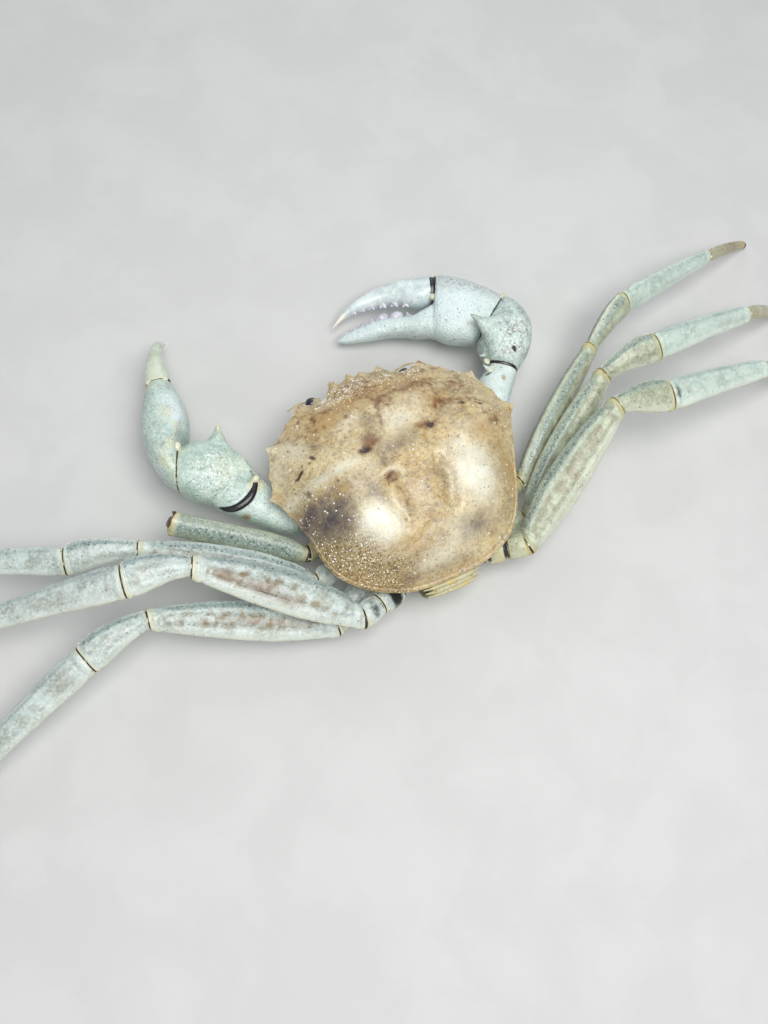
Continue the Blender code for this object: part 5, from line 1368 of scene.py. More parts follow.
def fill_joints(faces, left):
    """A soft ring and four knobs in each joint of a claw; some rings of the left claw sit deeper."""
    snugs = {"palm": 0.86, "finger": 0.9} if left else {}
    for part, swell in (("merus", 0.3), ("carpus", 0.0 if left else 0.9), ("palm", 0.7), ("finger", 0.3)):
        middle, ahead, broad, reach, half = faces[part]
        snug = snugs.get(part, 1.0)
        add_membrane(middle, ahead, broad, reach * snug, half * (2 * snug - 1), 2.4, swell, 2.4)
        turn = math.atan2(broad[1], broad[0])
        for edge in (-0.62, 0.62):
            for lift in (-0.66, 0.66):
                place = middle + broad * reach * edge + np.array((0, 0, 1.0)) * half * lift
                knob_parts.append(lump(place, (1.8, 1.6, 1.5), turn))


def add_teeth(rows):
    """The big crushing teeth are two lumps each, the others a low cone and a lump."""
    for kind, way in (("fixed_teeth", -1), ("finger_teeth", 1)):
        for (x, y), z, radius in rows[kind]:
            if radius > 3:
                tooth_parts.append(lump((x, y - 0.5, z + 0.8), (radius * 1.28, radius * 0.86, radius * 0.84), 0.12))
                beside, small = (x + radius * 1.1, y + 0.4, z + 0.4), (radius * 0.5, radius * 0.6, radius * 0.5)
            else:
                tip = (x - 0.5, y + way * radius * 1.35, z + 0.9)
                tooth_parts.append(thorn((x, y - way * 0.4, z + 0.2), tip, radius * 1.25))
                beside, small = (x + radius * 1.2, y, z), (radius * 0.6, radius * 0.5, radius * 0.5)
            tooth_parts.append(lump(beside, small))


# %% [markdown]
# ## The hard segments
# One table gives each segment its squareness and its fineness, and another how finely it is melted. The left
# claw is the same animal's bigger one: its elbow has three swellings and its wrist draws in below the spine.

# %% Hard segments of a claw
# Which ends are joints, squareness, points round, sections.
SKINS = {"coxa": ((True, True), 2.4, 48, 50), "merus": ((True, True), 2.5, 64, 90),
         "carpus": ((True, True), 2.7, 72, 90), "palm": ((True, True), 2.5, 72, 90),
         "fixed": ((False, False), 2.3, 48, 80), "finger": ((True, False), 2.3, 56, 90)}
MELTS = {"coxa": (0.6, 3), "merus": (0.5, 4), "carpus": (0.5, 5), "palm": (0.5, 8), "finger": (0.42, 12)}
ELBOW_SWELLINGS = (((91.0, -28.6, 30.6), (13.2, 10.2, 7.4), 0.24), ((82.8, -32.6, 34.6), (6.0, 5.4, 5.4)),
                   ((86.0, -36.6, 34.0), (6.0, 5.6, 6.0)))


def claw_segments(rows, tag, left):
    """The five hard segments of a claw, with spines, swellings and the fixed finger melted in."""
    skins = {part: edge_skin(part, rows[part], *form) for part, form in SKINS.items()}
    big, small, arm_spine = rows["spines"]
    more = {"merus": [thorn(*arm_spine)], "palm": [skins["fixed"]],
            "carpus": [thorn(*big, 0.3, 1.6, 1.1 if left else 0.6), thorn(*small)]}
    if left:
        more["carpus"] += [lump(*form) for form in ELBOW_SWELLINGS]
    return [fused(tag + part + "_shell", [skins[part]] + more.get(part, []), *melt) for part, melt in MELTS.items()]


def draw_in(wrist):
    """Draw the inner edge of the left wrist towards the spine."""
    for corner in wrist.data.vertices:
        x, y = corner.co.x * 1000, corner.co.y * 1000
        limit = 78.5 + max(0.0, -40 - y) * 0.42
        share = 1 - max(0.0, min(1.0, (-50 - y) / 8))
        if x < limit:
            corner.co.x += (limit - x) * 0.75 * share / 1000


# %% [markdown]
# ## Colour of the claws
# The claws differ from side to side: the left one is greener and crusted, the right one whiter, with violet
# speckle on the wrist. So each segment has its own short function, and left or right is its last argument.

# %% Tints and patches of a claw's segments
def dress(piece, tints, patches=None, finish=claw_shell, slot="claw_shell"):
    """Store the masks of a piece and settle it; its solid has the same name without the last word."""
    paint(piece, "tints", tints)
    if patches:
        paint(piece, "patches", np.column_stack(patches))
    settle(piece, finish, slot, piece.name.removesuffix("_shell"))


def tip_of(rows):
    """The outermost point of a finger."""
    return np.array((*rows[-1][0], rows[-1][2]))


def dress_arm(arm, faces, left):
    """Stains by the elbow; a painted highlight on the upper side of the left arm, a bleached white on the right."""
    spots, out = crusted(arm, 0.45, 7)
    tints = claw_tints(spots, out, [faces["merus"], faces["carpus"]], 0.22, 2)
    if left:
        stain(spots, tints, 0, (78, -26, 34), (7, 6, 8), 0.8)
        stain(spots, tints, 1, (89.6, -11.6, 27.4), (4, 2.4, 4), 0.8)
        # Paler where the arm faces up: a painted highlight.
        bleach_and_highlight = 0.35 * soft(out[:, 2], 0.5, 0.9)
    else:
        stain(spots, tints, 2, (-77.5, -38.2, 31.7), (3.0, 0.9, 4), 0.6)
        stain(spots, tints, 1, (-84.4, -31.9, 33.3), (1.8, 2.2, 4), 0.8)
        bleach_and_highlight = 0.35 + 0.3 * soft(ripple(spots, 9.0, 27), -0.1, 0.4)
    dress(arm, tints, [0 * bleach_and_highlight, 0 * bleach_and_highlight, bleach_and_highlight])


def dress_wrist(wrist, rows, faces, left):
    """Knobbly crust on top, ochre by the big spine and, on the right, violet-grey speckle."""
    spots, out = crusted(wrist, 1.0 if left else 0.8, 9)
    tints = claw_tints(spots, out, [faces["palm"]] if left else [faces["palm"], faces["carpus"]], 0.35, 3)
    front, back = rows["carpus"][2][:2]
    stain(spots, tints, 0, ((front[0] + back[0]) / 2, (front[1] + back[1]) / 2, 42), (12, 10, 12), 0.25)
    stain(spots, tints, 0, rows["spines"][0][1], (5, 8, 5), 0.9)
    if not left:
        stain(spots, tints, 2, (-97, -44.6, 38.8), (1.3, 2.2, 4), 0.95)
        tints[:, 0] *= 0.35
    away = np.linalg.norm((spots - np.array((97, -38, 41) if left else (-101, -54, 40))) * (1, 1, 0.6), axis=1)
    crust = (1 - soft(away, 10, 15)) * soft(out[:, 2], 0.0, 0.4)
    speckle = 0 * crust if left else 0.95 * soft(ripple(spots, 6.0, 19), -0.15, 0.3)
    dress(wrist, tints, [speckle, crust, 0 * crust + (0.0 if left else 0.15)])


RIGHT_HAND_RIM = (((-33, -94, 14.5), (-63.5, -78.7, 16.5)), ((-63.5, -78.7, 16.5), (-83, -65, 21.7)))


def dress_hand(hand, rows, faces, left):
    """Paler towards the fixed finger, bluish white on the swelling with a painted highlight on the right palm,
    speckled along the lower rim.
    """
    spots, out = crusted(hand, 0.9 if left else 0.6, 11)
    x, y, z = spots.T
    tints = claw_tints(spots, out, [faces["palm"], faces["finger"]], 0.6, 4)
    fade = 1 - soft(np.linalg.norm(spots - tip_of(rows["fixed"]), axis=1), 20, 60)
    tints[:, 0] *= (1 - 0.8 * fade) * (0.85 if left else 0.35)
    if left:
        speckle = 0.4 * soft(ripple(spots, 8.0, 23), 0.1, 0.5)
        cream = 0.5 * soft(x, 108, 118)
        bluish_white_and_highlight = 0.9 * egg(spots, (103, -80, 43), (7, 14, 9))
    else:
        rim = np.min([np.linalg.norm(spots - np.array(a) * (1 - t) - np.array(b) * t, axis=1)
                      for a, b in RIGHT_HAND_RIM for t in np.linspace(0, 1, 14)], axis=0)
        outer = soft(-y - 0.72 * (x + 112), 72, 84) * soft(z, 24, 30) * soft(-x, 62, 70)
        speckle = 0.9 * bell(rim, 0, 2.4) + 0.7 * outer
        cream = 0 * fade
        # Bluish white over the right hand, with a painted highlight on the swelling of the palm.
        bluish_white_and_highlight = 0.4 + 0.35 * fade + 0.5 * egg(spots, (-80, -88, 34), (24, 22, 18))
    dress(hand, tints, [speckle, cream, bluish_white_and_highlight])


def dress_finger(finger, rows, faces, left):
    """Smooth, with an ochre tip."""
    spots, out = crusted(finger, 0.06, 13)
    tints = claw_tints(spots, out, [faces["finger"]], 0.15, 5)
    away = np.linalg.norm(spots - tip_of(rows["finger"]), axis=1)
    tints[:, 0] = np.maximum(tints[:, 0], 1 - soft(away, 4, 18))
    dress(finger, tints, None, finger_shell if left else white_finger_shell, "finger_shell")


# %% [markdown]
# ## Both claws
# With all steps in functions, building a claw reads as a list. The right claw comes first, and two strips of
# soft skin that only show on one side each come last.

# %% Build both claws
KNUCKLE = (Vector((-76.6, -114.0, 27.2)), Vector((-72.6, -104.8, 25.8)))
ELBOW_ARC = [(0, 77.0, -30.4, 32.8, 1.1), (1, 79.0, -25.0, 33.6, 2.0), (2, 84.6, -19.4, 33.8, 2.6),
             (3, 92.6, -17.6, 32.8, 2.4), (4, 98.8, -19.6, 31.8, 1.4), (4.4, 101.0, -21.4, 31.4, 0.7)]
SEEN_KNOBS = {
    "right": (((-72.4, -102.6, 25.4), (2.4, 2.2, 2.0), 0.5), ((-80.4, -40.4, 32.0), (2.9, 1.7, 1.3), 0.5),
              ((-80.9, -46.6, 30.9), (1.7, 2.3, 1.3), 0.2), ((-110.2, -82.8, 32.0), (3.0, 2.0, 2.0), 0.8)),
    "left": (((77.0, -28.4, 34.0), (2.6, 2.2, 2.2), 0.5), ((110.2, -60.4, 40.7), (3.1, 2.3, 2.0), 0.9)),
}
grit_sources = []
for side_name, rows in CLAWS.items():
    left = side_name == "left"
    faces = {part: joint_face(*rows[part][:2]) for part in MELTS}
    fill_joints(faces, left)
    coxa, arm, wrist, hand, finger = claw_segments(rows, "claw_" + side_name + "_", left)
    if left:
        draw_in(wrist)
    add_teeth(rows)
    spots, out = crusted(coxa, 0.4, 5)
    dress(coxa, claw_tints(spots, out, [faces["coxa"], faces["merus"]], 0.3, 1))
    dress_arm(arm, faces, left)
    dress_wrist(wrist, rows, faces, left)
    dress_hand(hand, rows, faces, left)
    dress_finger(finger, rows, faces, left)
    grit_sources += [wrist, hand]
    if left:
        arc = smooth_rows(ELBOW_ARC, np.linspace(0, 4.4, 60))[:, 1:]
        add_strip([Vector(row[:3]) for row in arc], [(row[3], 0.75 * row[3]) for row in arc])
    else:
        add_strip([KNUCKLE[0].lerp(KNUCKLE[1], t) + Vector((0, 0, 1.1 * 4 * t * (1 - t)))
                   for t in np.linspace(0, 1, 40)], [(1.7, 1.2)] * 40, 3.0)
    knob_parts += [lump(*form) for form in SEEN_KNOBS[side_name]]
    print(side_name, "claw points:", [len(p.data.vertices) for p in (coxa, arm, wrist, hand, finger)])

# %% [markdown]
# ## Walking legs
# A walking leg is five tubes hinged end to end: a short coxa, a spindle-shaped merus with a keeled front edge,
# a short carpus that widens outward, a long propodus and a fluted dactylus that ends in a horny point. All
# legs share the same profiles, scaled to each leg, as they do on the animal.

# %% Profiles shared by all legs
# Share of length, half width and half thickness as shares of the leg's own.
MERUS = [(0, 0.56, 0.66), (0.07, 0.66, 0.78), (0.18, 0.84, 0.93), (0.33, 0.99, 1), (0.48, 1, 1), (0.64, 0.93, 0.97),
         (0.8, 0.79, 0.9), (0.92, 0.64, 0.84), (1, 0.57, 0.74)]
CARPUS = [(0, 0.44, 0.6), (0.12, 0.5, 0.72), (0.35, 0.62, 0.86), (0.6, 0.77, 0.94), (0.85, 0.86, 0.94),
          (1, 0.8, 0.82)]
PROPODUS = [(0, 0.76, 0.76), (0.1, 0.8, 0.84), (0.3, 0.74, 0.82), (0.55, 0.66, 0.76), (0.8, 0.58, 0.7),
            (0.95, 0.5, 0.62), (1, 0.42, 0.54)]
DACTYLUS = [(0, 0.38, 0.5), (0.12, 0.4, 0.52), (0.35, 0.36, 0.46), (0.6, 0.28, 0.36), (0.8, 0.2, 0.25),
            (0.93, 0.12, 0.15), (1, 0.07, 0.12)]


def broad_face_normal(heading, roll, side):
    """Normal of the rear face of a leg; roll 0 turns it up, 90 turns it backward."""
    back = (Vector((0, 1, 0)) - heading * heading.y).normalized()
    up = heading.cross(back) * side
    if up.z < 0:
        up = -up
    roll = math.radians(roll)
    return (up * math.cos(roll) + back * math.sin(roll)).normalized()


def straight(start, end, first, last, profile, scale, bow=0.0, bow_axis=None, steps=84):
    """Path, headings and half widths of a segment between two joint faces."""
    start, end = start + first * 0.15, end - last * 0.15
    fine = smooth_rows(profile, eased(steps))
    run = end - start
    path, headings, halves = [], [], []
    for share, broad, through in fine:
        point, heading = start + run * share, run.normalized()
        if bow:
            point = point + bow_axis * bow * 4 * share * (1 - share)
            heading = (heading + bow_axis * bow * 4 * (1 - 2 * share) / run.length).normalized()
        near, far = max(0.0, 1 - share / 0.12), max(0.0, 1 - (1 - share) / 0.12)
        path.append(point)
        headings.append(heading * (1 - near - far) + first * near + last * far)
        halves.append((broad * scale[0], through * scale[1]))
    return path, headings, halves


def curved(start, end, first, last, pull, profile, scale):
    """The same along a smooth curve that leaves and arrives square to its end faces."""
    fine = smooth_rows(profile, eased(90))
    length = (end - start).length
    a, b = first * pull[0] * length, last * pull[1] * length
    path, headings, halves = [], [], []
    for share, broad, through in fine:
        t, t2, t3 = share, share ** 2, share ** 3
        path.append(start * (2 * t3 - 3 * t2 + 1) + a * (t3 - 2 * t2 + t) + end * (3 * t2 - 2 * t3) + b * (t3 - t2))
        headings.append(start * (6 * t2 - 6 * t) + a * (3 * t2 - 4 * t + 1) + end * (6 * t - 6 * t2)
                        + b * (3 * t2 - 2 * t))
        halves.append((max(broad, 0.05) * scale[0], max(through, 0.05) * scale[1]))
    return path, headings, halves


# %% [markdown]
# ## Relief and colour of the legs
# Relief and tints are functions of two numbers, the share of the length and the angle round the section, so
# they can be reused on every leg. Marks that only one leg bears are kept in a table by leg and segment.

# %% Relief of a segment
GROOVES = {"merus": 0.7, "carpus": 0.45, "propodus": 0.5, "hip": 0.2}
FLUTES = (0.0, 1.05, 2.1, 3.14)


def leg_relief(kind, edge):
    """Keel on the front edge, grooves along the broad faces, and a collar at each end."""
    def rise(share, turn):
        front = apart(turn, edge)
        body = soft(share, 0.04, 0.14) * (1 - soft(share, 0.86, 0.96))
        value = 0.55 * bell(front, 0, 0.2) * body
        if kind == "dactylus":
            for at in FLUTES:
                value = value - 0.34 * bell(front, at + 0.4, 0.2) * body
            return value
        up, down = bell(apart(turn, UP), 0.42, 0.2), bell(apart(turn, -UP), 0.42, 0.22)
        value = value - GROOVES[kind] * body * (up + 0.7 * down)
        value = value - 0.4 * body * bell(front, 0.5, 0.14)
        value = value + 0.42 * bell(share, 0.968, 0.014) - 0.5 * bell(share, 0.93, 0.012)
        return value + 0.3 * bell(share, 0.03, 0.014) - 0.4 * bell(share, 0.062, 0.012)
    return rise


def roughened(piece, amount, seed):
    """Fine waves on a leg, left out where it touches the floor."""
    spots = points_of(piece)
    wave = 0.2 * ripple(spots, 7.0, seed) + 0.07 * ripple(spots, 1.8, seed + 1, 2)
    low = soft(spots[:, 2], 0.3, 2.5)
    set_points(piece, spots + normals_of(piece) * (wave * amount * low)[:, None])


# %% Tints and patches of a segment
UP = math.pi / 2
OCHRE_ENDS = {"merus": (0.955, 0.03), "carpus": (0.93, 0.05), "propodus": (0.96, 0.03), "dactylus": (0.7, 0.05),
              "hip": (0.8, 0.2)}
CHANNELS = ("ochre", "rust", "dark")


def leg_tints(kind, edge, length, marks=()):
    """Ochre joints and edges, rust patches, black rims and fine dark dashes on the front edge."""
    def tint(share, turn):
        front = apart(turn, edge)
        far_end, near_end = OCHRE_ENDS[kind]
        ochre = 0.72 * soft(share, far_end - 0.02, 1.0) + 0.6 * (1 - soft(share, 0.0, near_end + 0.015))
        ochre = ochre + 0.6 * bell(np.pi - front, 0, 0.5) + 0.3 * bell(front, 0, 0.24)
        rust = np.zeros_like(share)
        dark = 0.8 * (bell(share, 0.0, 0.36 / length) + bell(share, 1.0, 0.36 / length))
        if kind in ("carpus", "propodus"):
            groove = 0.27 * bell(apart(turn, UP), 0.34, 0.06)
            dark = dark + groove * soft(share, 0.1, 0.25) * (1 - soft(share, 0.8, 0.95))
        if kind == "dactylus":
            ochre = ochre + 0.5 * soft(share, 0.3, 0.8)
            rust = rust + 0.9 * soft(share, 0.78, 0.97)
            dark = dark + 0.5 * soft(share, 0.95, 1.0)
        masks = np.stack([ochre, rust, dark], -1)
        for channel, at, around, size, spread, strength in marks:
            spot = strength * bell(share, at, size) * bell(apart(turn, around), 0, spread)
            masks[..., CHANNELS.index(channel)] += spot
        return masks
    return tint


# Strength of the dashed strip, the worn groove and the cream crest on each kind of segment.
PATCHES = {"merus": (1.0, 0.9, 0.3), "carpus": (1.0, 0.4, 0.8), "propodus": (0.4, 0.3, 0.4)}


def leg_patches(kind, edge, rows, count, worn):
    """Masks for the dashed strip by the front edge, the worn groove and the cream crest; worn scales the groove."""
    share = np.repeat(eased(rows)[:, None], count, axis=1)
    turn = np.repeat(squared_circle(count, 2)[0][None], rows, axis=0)
    front = apart(turn, edge)
    body = soft(share, 0.03, 0.12) * (1 - soft(share, 0.88, 0.97))
    dashed, groove, pale = PATCHES.get(kind, (0.0, 0.0, 0.0))
    strip = bell(front, 0.58, 0.36) * body * dashed
    wear = worn * bell(apart(turn, UP), 0.0, 0.6) * body * groove
    crest = bell(front, 0.0, 0.12) * body * pale
    crest = crest + 0.85 * bell(front, np.pi, 0.8) * soft(share, 0.0, 0.06)
    masks = np.stack([strip, wear, crest], -1).reshape(-1, 3)
    return np.vstack([masks, np.zeros((2, 3))])


# %% Marks of single legs, seen in the picture
# Share of length, angle, size, spread, strength.
MARKS = {
    (3, "left", "merus"): [("rust", 0.5, UP, 0.25, 1.0, 0.35)],
    (4, "left", "merus"): [("rust", 0.55, UP, 0.3, 0.42, 0.5), ("rust", 0.2, UP, 0.12, 0.5, 0.4),
                           ("dark", 0.5, UP + 0.2, 0.2, 0.1, 0.3)],
    (5, "left", "merus"): [("rust", 0.42, UP + 0.4, 0.16, 0.5, 0.5), ("rust", 0.66, UP + 0.2, 0.16, 0.5, 0.62),
                           ("rust", 0.82, UP, 0.06, 0.4, 0.6), ("dark", 0.56, UP + 0.35, 0.16, 0.12, 0.46),
                           ("dark", 0.3, UP + 0.1, 0.1, 0.1, 0.36)],
    (4, "left", "propodus"): [("rust", 0.2, UP, 0.12, 1.0, 0.4)],
    (5, "left", "propodus"): [("rust", 0.45, UP, 0.2, 1.0, 0.35)],
    (5, "right", "propodus"): [("dark", 0.045, UP, 0.035, 0.8, 0.5)],
    (3, "right", "dactylus"): [("dark", 0.95, UP, 0.12, 3.0, 0.8), ("rust", 0.5, UP, 0.3, 3.0, 0.5)],
    (5, "left", "coxa"): [("dark", 0.4, UP, 0.3, 1.6, 0.9)],
    (5, "right", "coxa"): [("ochre", 0.6, UP, 0.4, 1.8, 0.6), ("dark", 0.2, UP, 0.16, 1.3, 0.8),
                           ("dark", 0.9, UP, 0.08, 1.4, 0.8)],
    (5, "right", "ischium"): [("ochre", 0.5, UP, 0.5, 1.8, 0.4)],
    (5, "left", "ischium"): [("dark", 0.5, UP, 0.3, 1.2, 0.5)],
    (2, "right", "coxa"): [("dark", 1.0, UP, 0.1, 3.0, 0.9)],
}

# %% One segment of a leg
LEG_ROUND, RIDGE_LIFT = 44, 0.25
ridge_lines, crest_lines = [], []


def keep_ridge(lines, path, headings, halves, face, edge):
    """Remember the line along the front edge of a segment, where the grains will sit."""
    line = []
    for k in range(0, len(path), 2):
        heading = Vector(headings[k]).normalized()
        through = (face - heading * face.dot(heading)).normalized()
        broad = heading.cross(through) * (1 if edge == 0 else -1)
        share = 0.5 - 0.5 * math.cos(math.pi * (k / (len(path) - 1)))
        if 0.05 < share < 0.95:
            line.append(tuple(path[k] + broad * (halves[k][0] + RIDGE_LIFT)))
    lines.append(line)


def leg_piece(limb, part, kind, stations, face, forward, finish, slot, seed):
    """Skin, relief, tints and patches of one segment; limb is its number and side."""
    path, headings, halves = stations
    length = sum((b - a).length for a, b in zip(path, path[1:]))
    broad = Vector(headings[len(path) // 2]).normalized().cross(face)
    edge = 0 if broad.dot(forward) > 0 else math.pi
    node = "leg%d_%s_%s" % (*limb, part)
    piece = tube(node + "_shell", path, headings, face, halves, 2.25, LEG_ROUND, leg_relief(kind, edge),
                 leg_tints(kind, edge, length, MARKS.get((*limb, part), ())))
    roughened(piece, 0.5 if kind == "dactylus" else 1.0, seed)
    paint(piece, "patches", leg_patches(kind, edge, len(path), LEG_ROUND, 1.25 if finish is leg_shell else 0.8))
    if kind != "hip":
        keep_ridge(crest_lines if kind == "carpus" else ridge_lines, path, headings, halves, face, edge)
    settle(piece, finish, slot, node)


def joint_ring(point, normal, face, half, swell, length=1.5):
    """A soft ring between two segments, with a knob above and below."""
    normal = normal.normalized()
    through = (face - normal * face.dot(normal)).normalized()
    broad = np.array(normal.cross(through))
    add_membrane(np.array(point), np.array(normal), broad, half[0], half[1], length, swell, 2.25)
    for edge in (-0.7, 0.7):
        knob_parts.append(lump(np.array(point) + np.array(through) * half[1] * edge, (1.5, 1.5, 1.3)))


# %% [markdown]
# ## Six whole legs
# The loop places the joints of each leg from its pose, turns its broad face, and builds its segments from the
# hip outward, with a ring of soft skin at each joint. The last pair has a longer hip in two pieces.

# %% Build the six whole legs
HIP = [(0, 7.0, 5.8), (0.2, 7.6, 6.2), (0.45, 6.6, 5.4), (0.52, 6.2, 5.0), (0.7, 6.6, 5.0), (1, 5.4, 4.0)]
HIP5 = [(0, 7.0, 5.6), (0.3, 8.0, 6.2), (0.7, 7.4, 6.0), (1, 6.2, 5.0)]
NECK5 = [(0, 6.2, 5.0), (0.3, 6.9, 5.4), (0.75, 6.8, 5.0), (1, 6.2, 4.2)]
# Joint, half width and half thickness as shares of the leg's own, swell, length.
RINGS = ((1, 0.56, 0.66, 0.0, 1.5), (2, 0.5, 0.66, -0.1, 1.5), (3, 0.76, 0.76, -0.3, 1.2), (4, 0.4, 0.5, 0.1, 1.0))
for limb in POSE:
    number, side_name = limb
    side, joints, headings, normals = leg_frame(*limb)
    broad, through = size = (LEG_BROAD[number], LEG_THICK[number])
    face = broad_face_normal(headings[1], POSE[limb]["roll"], side)
    forward = headings[1].cross(face)
    if forward.y > 0:
        forward = -forward
    skin, hand_skin = (leg_shell, leg_shell) if side_name == "left" else (olive_leg_shell, mint_leg_shell)

    def piece(part, kind, stations, finish=skin, slot="leg_shell"):
        leg_piece(limb, part, kind, stations, face, forward, finish, slot, number * 3.0 + side)

    if number == 5:
        middle = joints[0].lerp(joints[1], 0.55)
        piece("coxa", "hip", straight(joints[0], middle, normals[0], headings[0], HIP5, (1, 1), steps=50))
        piece("ischium", "hip", straight(middle, joints[1], headings[0], normals[1], NECK5, (1, 1), steps=50))
        joint_ring(middle, headings[0], face, (6.2, 5.0), 0.5)
    else:
        piece("coxa", "hip", straight(joints[0], joints[1], normals[0], normals[1], HIP, (1, 1), steps=64))
    for k, part, profile, bow, finish in ((1, "merus", MERUS, 1.6, skin), (2, "carpus", CARPUS, 2.4, skin),
                                          (3, "propodus", PROPODUS, 0.8, hand_skin)):
        piece(part, part, straight(joints[k], joints[k + 1], normals[k], normals[k + 1], profile, size, bow, forward),
              finish)
    piece("dactylus", "dactylus", curved(joints[4] + normals[4] * 0.15, joints[5], normals[4], Vector((0, 0, -1)),
                                         (0.9, 0.35), DACTYLUS, size), leg_tip_shell, "leg_tip_shell")
    joint_ring(joints[0], normals[0], face, (7.0, 5.8), 0.4, 1.2)
    for k, across, deep, swell, length in RINGS:
        joint_ring(joints[k], normals[k], face, (across * broad, deep * through), swell, length)
print("leg pieces:", len([n for n in made_pieces if n.startswith("leg")]))

# %% [markdown]
# ## The broken second legs
# The second leg on the left ends in an open, hollow merus, and on the right only the hip is left. The open
# end is one skin that runs out along the shell, over a lobed rim and back down the inside.

# %% Both hips of the second pair
HIP2 = [(0, 6.6, 5.6), (0.2, 7.2, 6.0), (0.45, 6.2, 5.2), (0.52, 5.8, 4.8), (0.7, 6.2, 5.0), (1, 5.2, 4.0)]
STUMP_AIM = Vector((127.9, -21.5, 35))
for side_name, side in SIDES:
    hip, root = SECOND_LEG[side]
    heading = (root - hip).normalized()
    out = (STUMP_AIM - root).normalized() if side > 0 else heading
    joint = (heading + out).normalized()
    face = broad_face_normal(out, 66, side)
    leg_piece((2, side_name), "coxa", "hip", straight(hip, root, heading, joint, HIP2, (1, 1), steps=60), face,
              Vector((0, -1, 0)), olive_leg_shell, "leg_shell", side)
    joint_ring(hip, heading, face, (6.6, 5.6), 0.4, 1.2)
    joint_ring(root, joint, face, (4.9, 3.9), 0.4, 1.2)

# %% Skin of the stump
# It runs out along the shell, over the rim and back inside: share of length, then depth inside.
STUMP_LENGTH, STUMP_HALVES, STUMP_ROUND, OUTER_ROWS, INNER_ROWS = 77, (7.8, 5.7), 56, 90, 30
STUMP = [(0, 0.6, 0.68), (0.08, 0.76, 0.84), (0.25, 1, 1), (0.55, 1, 1), (0.85, 0.88, 0.98), (0.95, 0.9, 1.02),
         (1, 0.94, 1.06)]
INSIDE = [(0, 7.1, 5.8), (0.6, 6.5, 5.2), (2, 6.2, 4.9), (8, 5.5, 4.1), (13, 4.0, 2.8), (14, 1.0, 0.7)]
hip, root = SECOND_LEG[1]
out = (STUMP_AIM - root).normalized()
joint = ((root - hip).normalized() + out).normalized()
face = broad_face_normal(out, 66, 1)
end = root + out * STUMP_LENGTH
path, headings, halves = straight(root, end, joint, out, STUMP, STUMP_HALVES, steps=OUTER_ROWS)
inside = smooth_rows(INSIDE, np.linspace(0, 14, INNER_ROWS))
path = path + [end - out * float(row[0]) for row in inside]
headings = headings + [out] * INNER_ROWS
halves = halves + [(row[1], row[2]) for row in inside]
stump = tube("leg2_left_merus_shell", path, headings, face, halves, 2.25, STUMP_ROUND)

# %% Lobed rim and tints of the stump
spots = points_of(stump)
along = (spots - np.array(root)) @ np.array(out)
local = spots - np.array(root) - along[:, None] * np.array(out)
across = np.array(out.cross(face))
turn = np.arctan2(local @ np.array(face), local @ across)
lobes = -1.7 * (bell(np.abs(turn), 0.15, 0.5) + bell(np.abs(turn), math.pi, 0.45)) + 0.5 * np.sin(turn * 5)
inner = np.zeros(len(spots))
inner[OUTER_ROWS * STUMP_ROUND:(OUTER_ROWS + INNER_ROWS) * STUMP_ROUND] = 1.0
set_points(stump, spots + np.outer(lobes * np.where(inner > 0, soft(along, 66, 77), soft(along, 72.0, 77.0)),
                                   np.array(out)))
# Inside the open end the rust is dried tissue, and the dark that deepens inward is painted shade.
paint(stump, "tints", np.column_stack([0.7 * soft(along, 70, 77) * (1 - inner) + 0.5 * (1 - soft(along, 0, 7)),
                                       0.85 * inner + 0.3 * soft(along, 73, 77),
                                       0.75 * inner * (1 - soft(along, 66, 76)) + 0.8 * bell(along, 0, 0.5)]))
roughened(stump, 0.8, 31)
paint(stump, "patches", np.column_stack([bell(turn, 0.9, 0.8) * soft(along, 2, 10) * (1 - inner), 0 * inner,
                                         0.85 * soft(along, 71, 76) * (1 - inner)]))
settle(stump, olive_leg_shell, "leg_shell", "leg2_left_merus")
ridge_lines.append([tuple(root + out * s + Vector(across.tolist()) * STUMP_HALVES[0]) for s in np.linspace(10, 66, 30)])

# %% Dried tissue inside
turned = math.atan2(out.y, out.x)
tissue = fused("stump_tissue", [lump(tuple(end - out * 3.6), (5.6, 5.0, 4.3), turned),
                                lump(tuple(end - out * 1.6 + Vector((0, 0, 1.2))), (2.4, 2.6, 2.2), turned)], 0.3, 3)
spots = points_of(tissue)
set_points(tissue, spots + normals_of(tissue) * (0.35 * ripple(spots, 2.2, 41))[:, None])
settle(tissue, dried_tissue, "leg_shell")
print("stump points:", len(stump.data.vertices), "tissue points:", len(spots))

# %% [markdown]
# ## Plates at the root of the tail
# Behind the shield the first plates of the tail show as narrow bands that follow its rear edge, with a dark,
# shaded crease between them. Each band is a low tube, and one dark tube below fills the creases with soft
# skin and painted shade.

# %% Three bands and the crease below them
# Rear edge, height, half reach, thickness.
BANDS = ((68.5, 33.6, 17.5, 1.5), (70.4, 31.8, 17.0, 1.45), (72.1, 29.9, 16.0, 1.4))
BAND_STEPS, CREASE_STEPS = 60, 40


def rear_arc(y0, z0, reach_x, count):
    """A shallow arc that follows the rear edge of the shield."""
    return [Vector((x, y0 - 0.0045 * x * x, z0 - 0.004 * x * x)) for x in np.linspace(reach_x, -reach_x, count)]


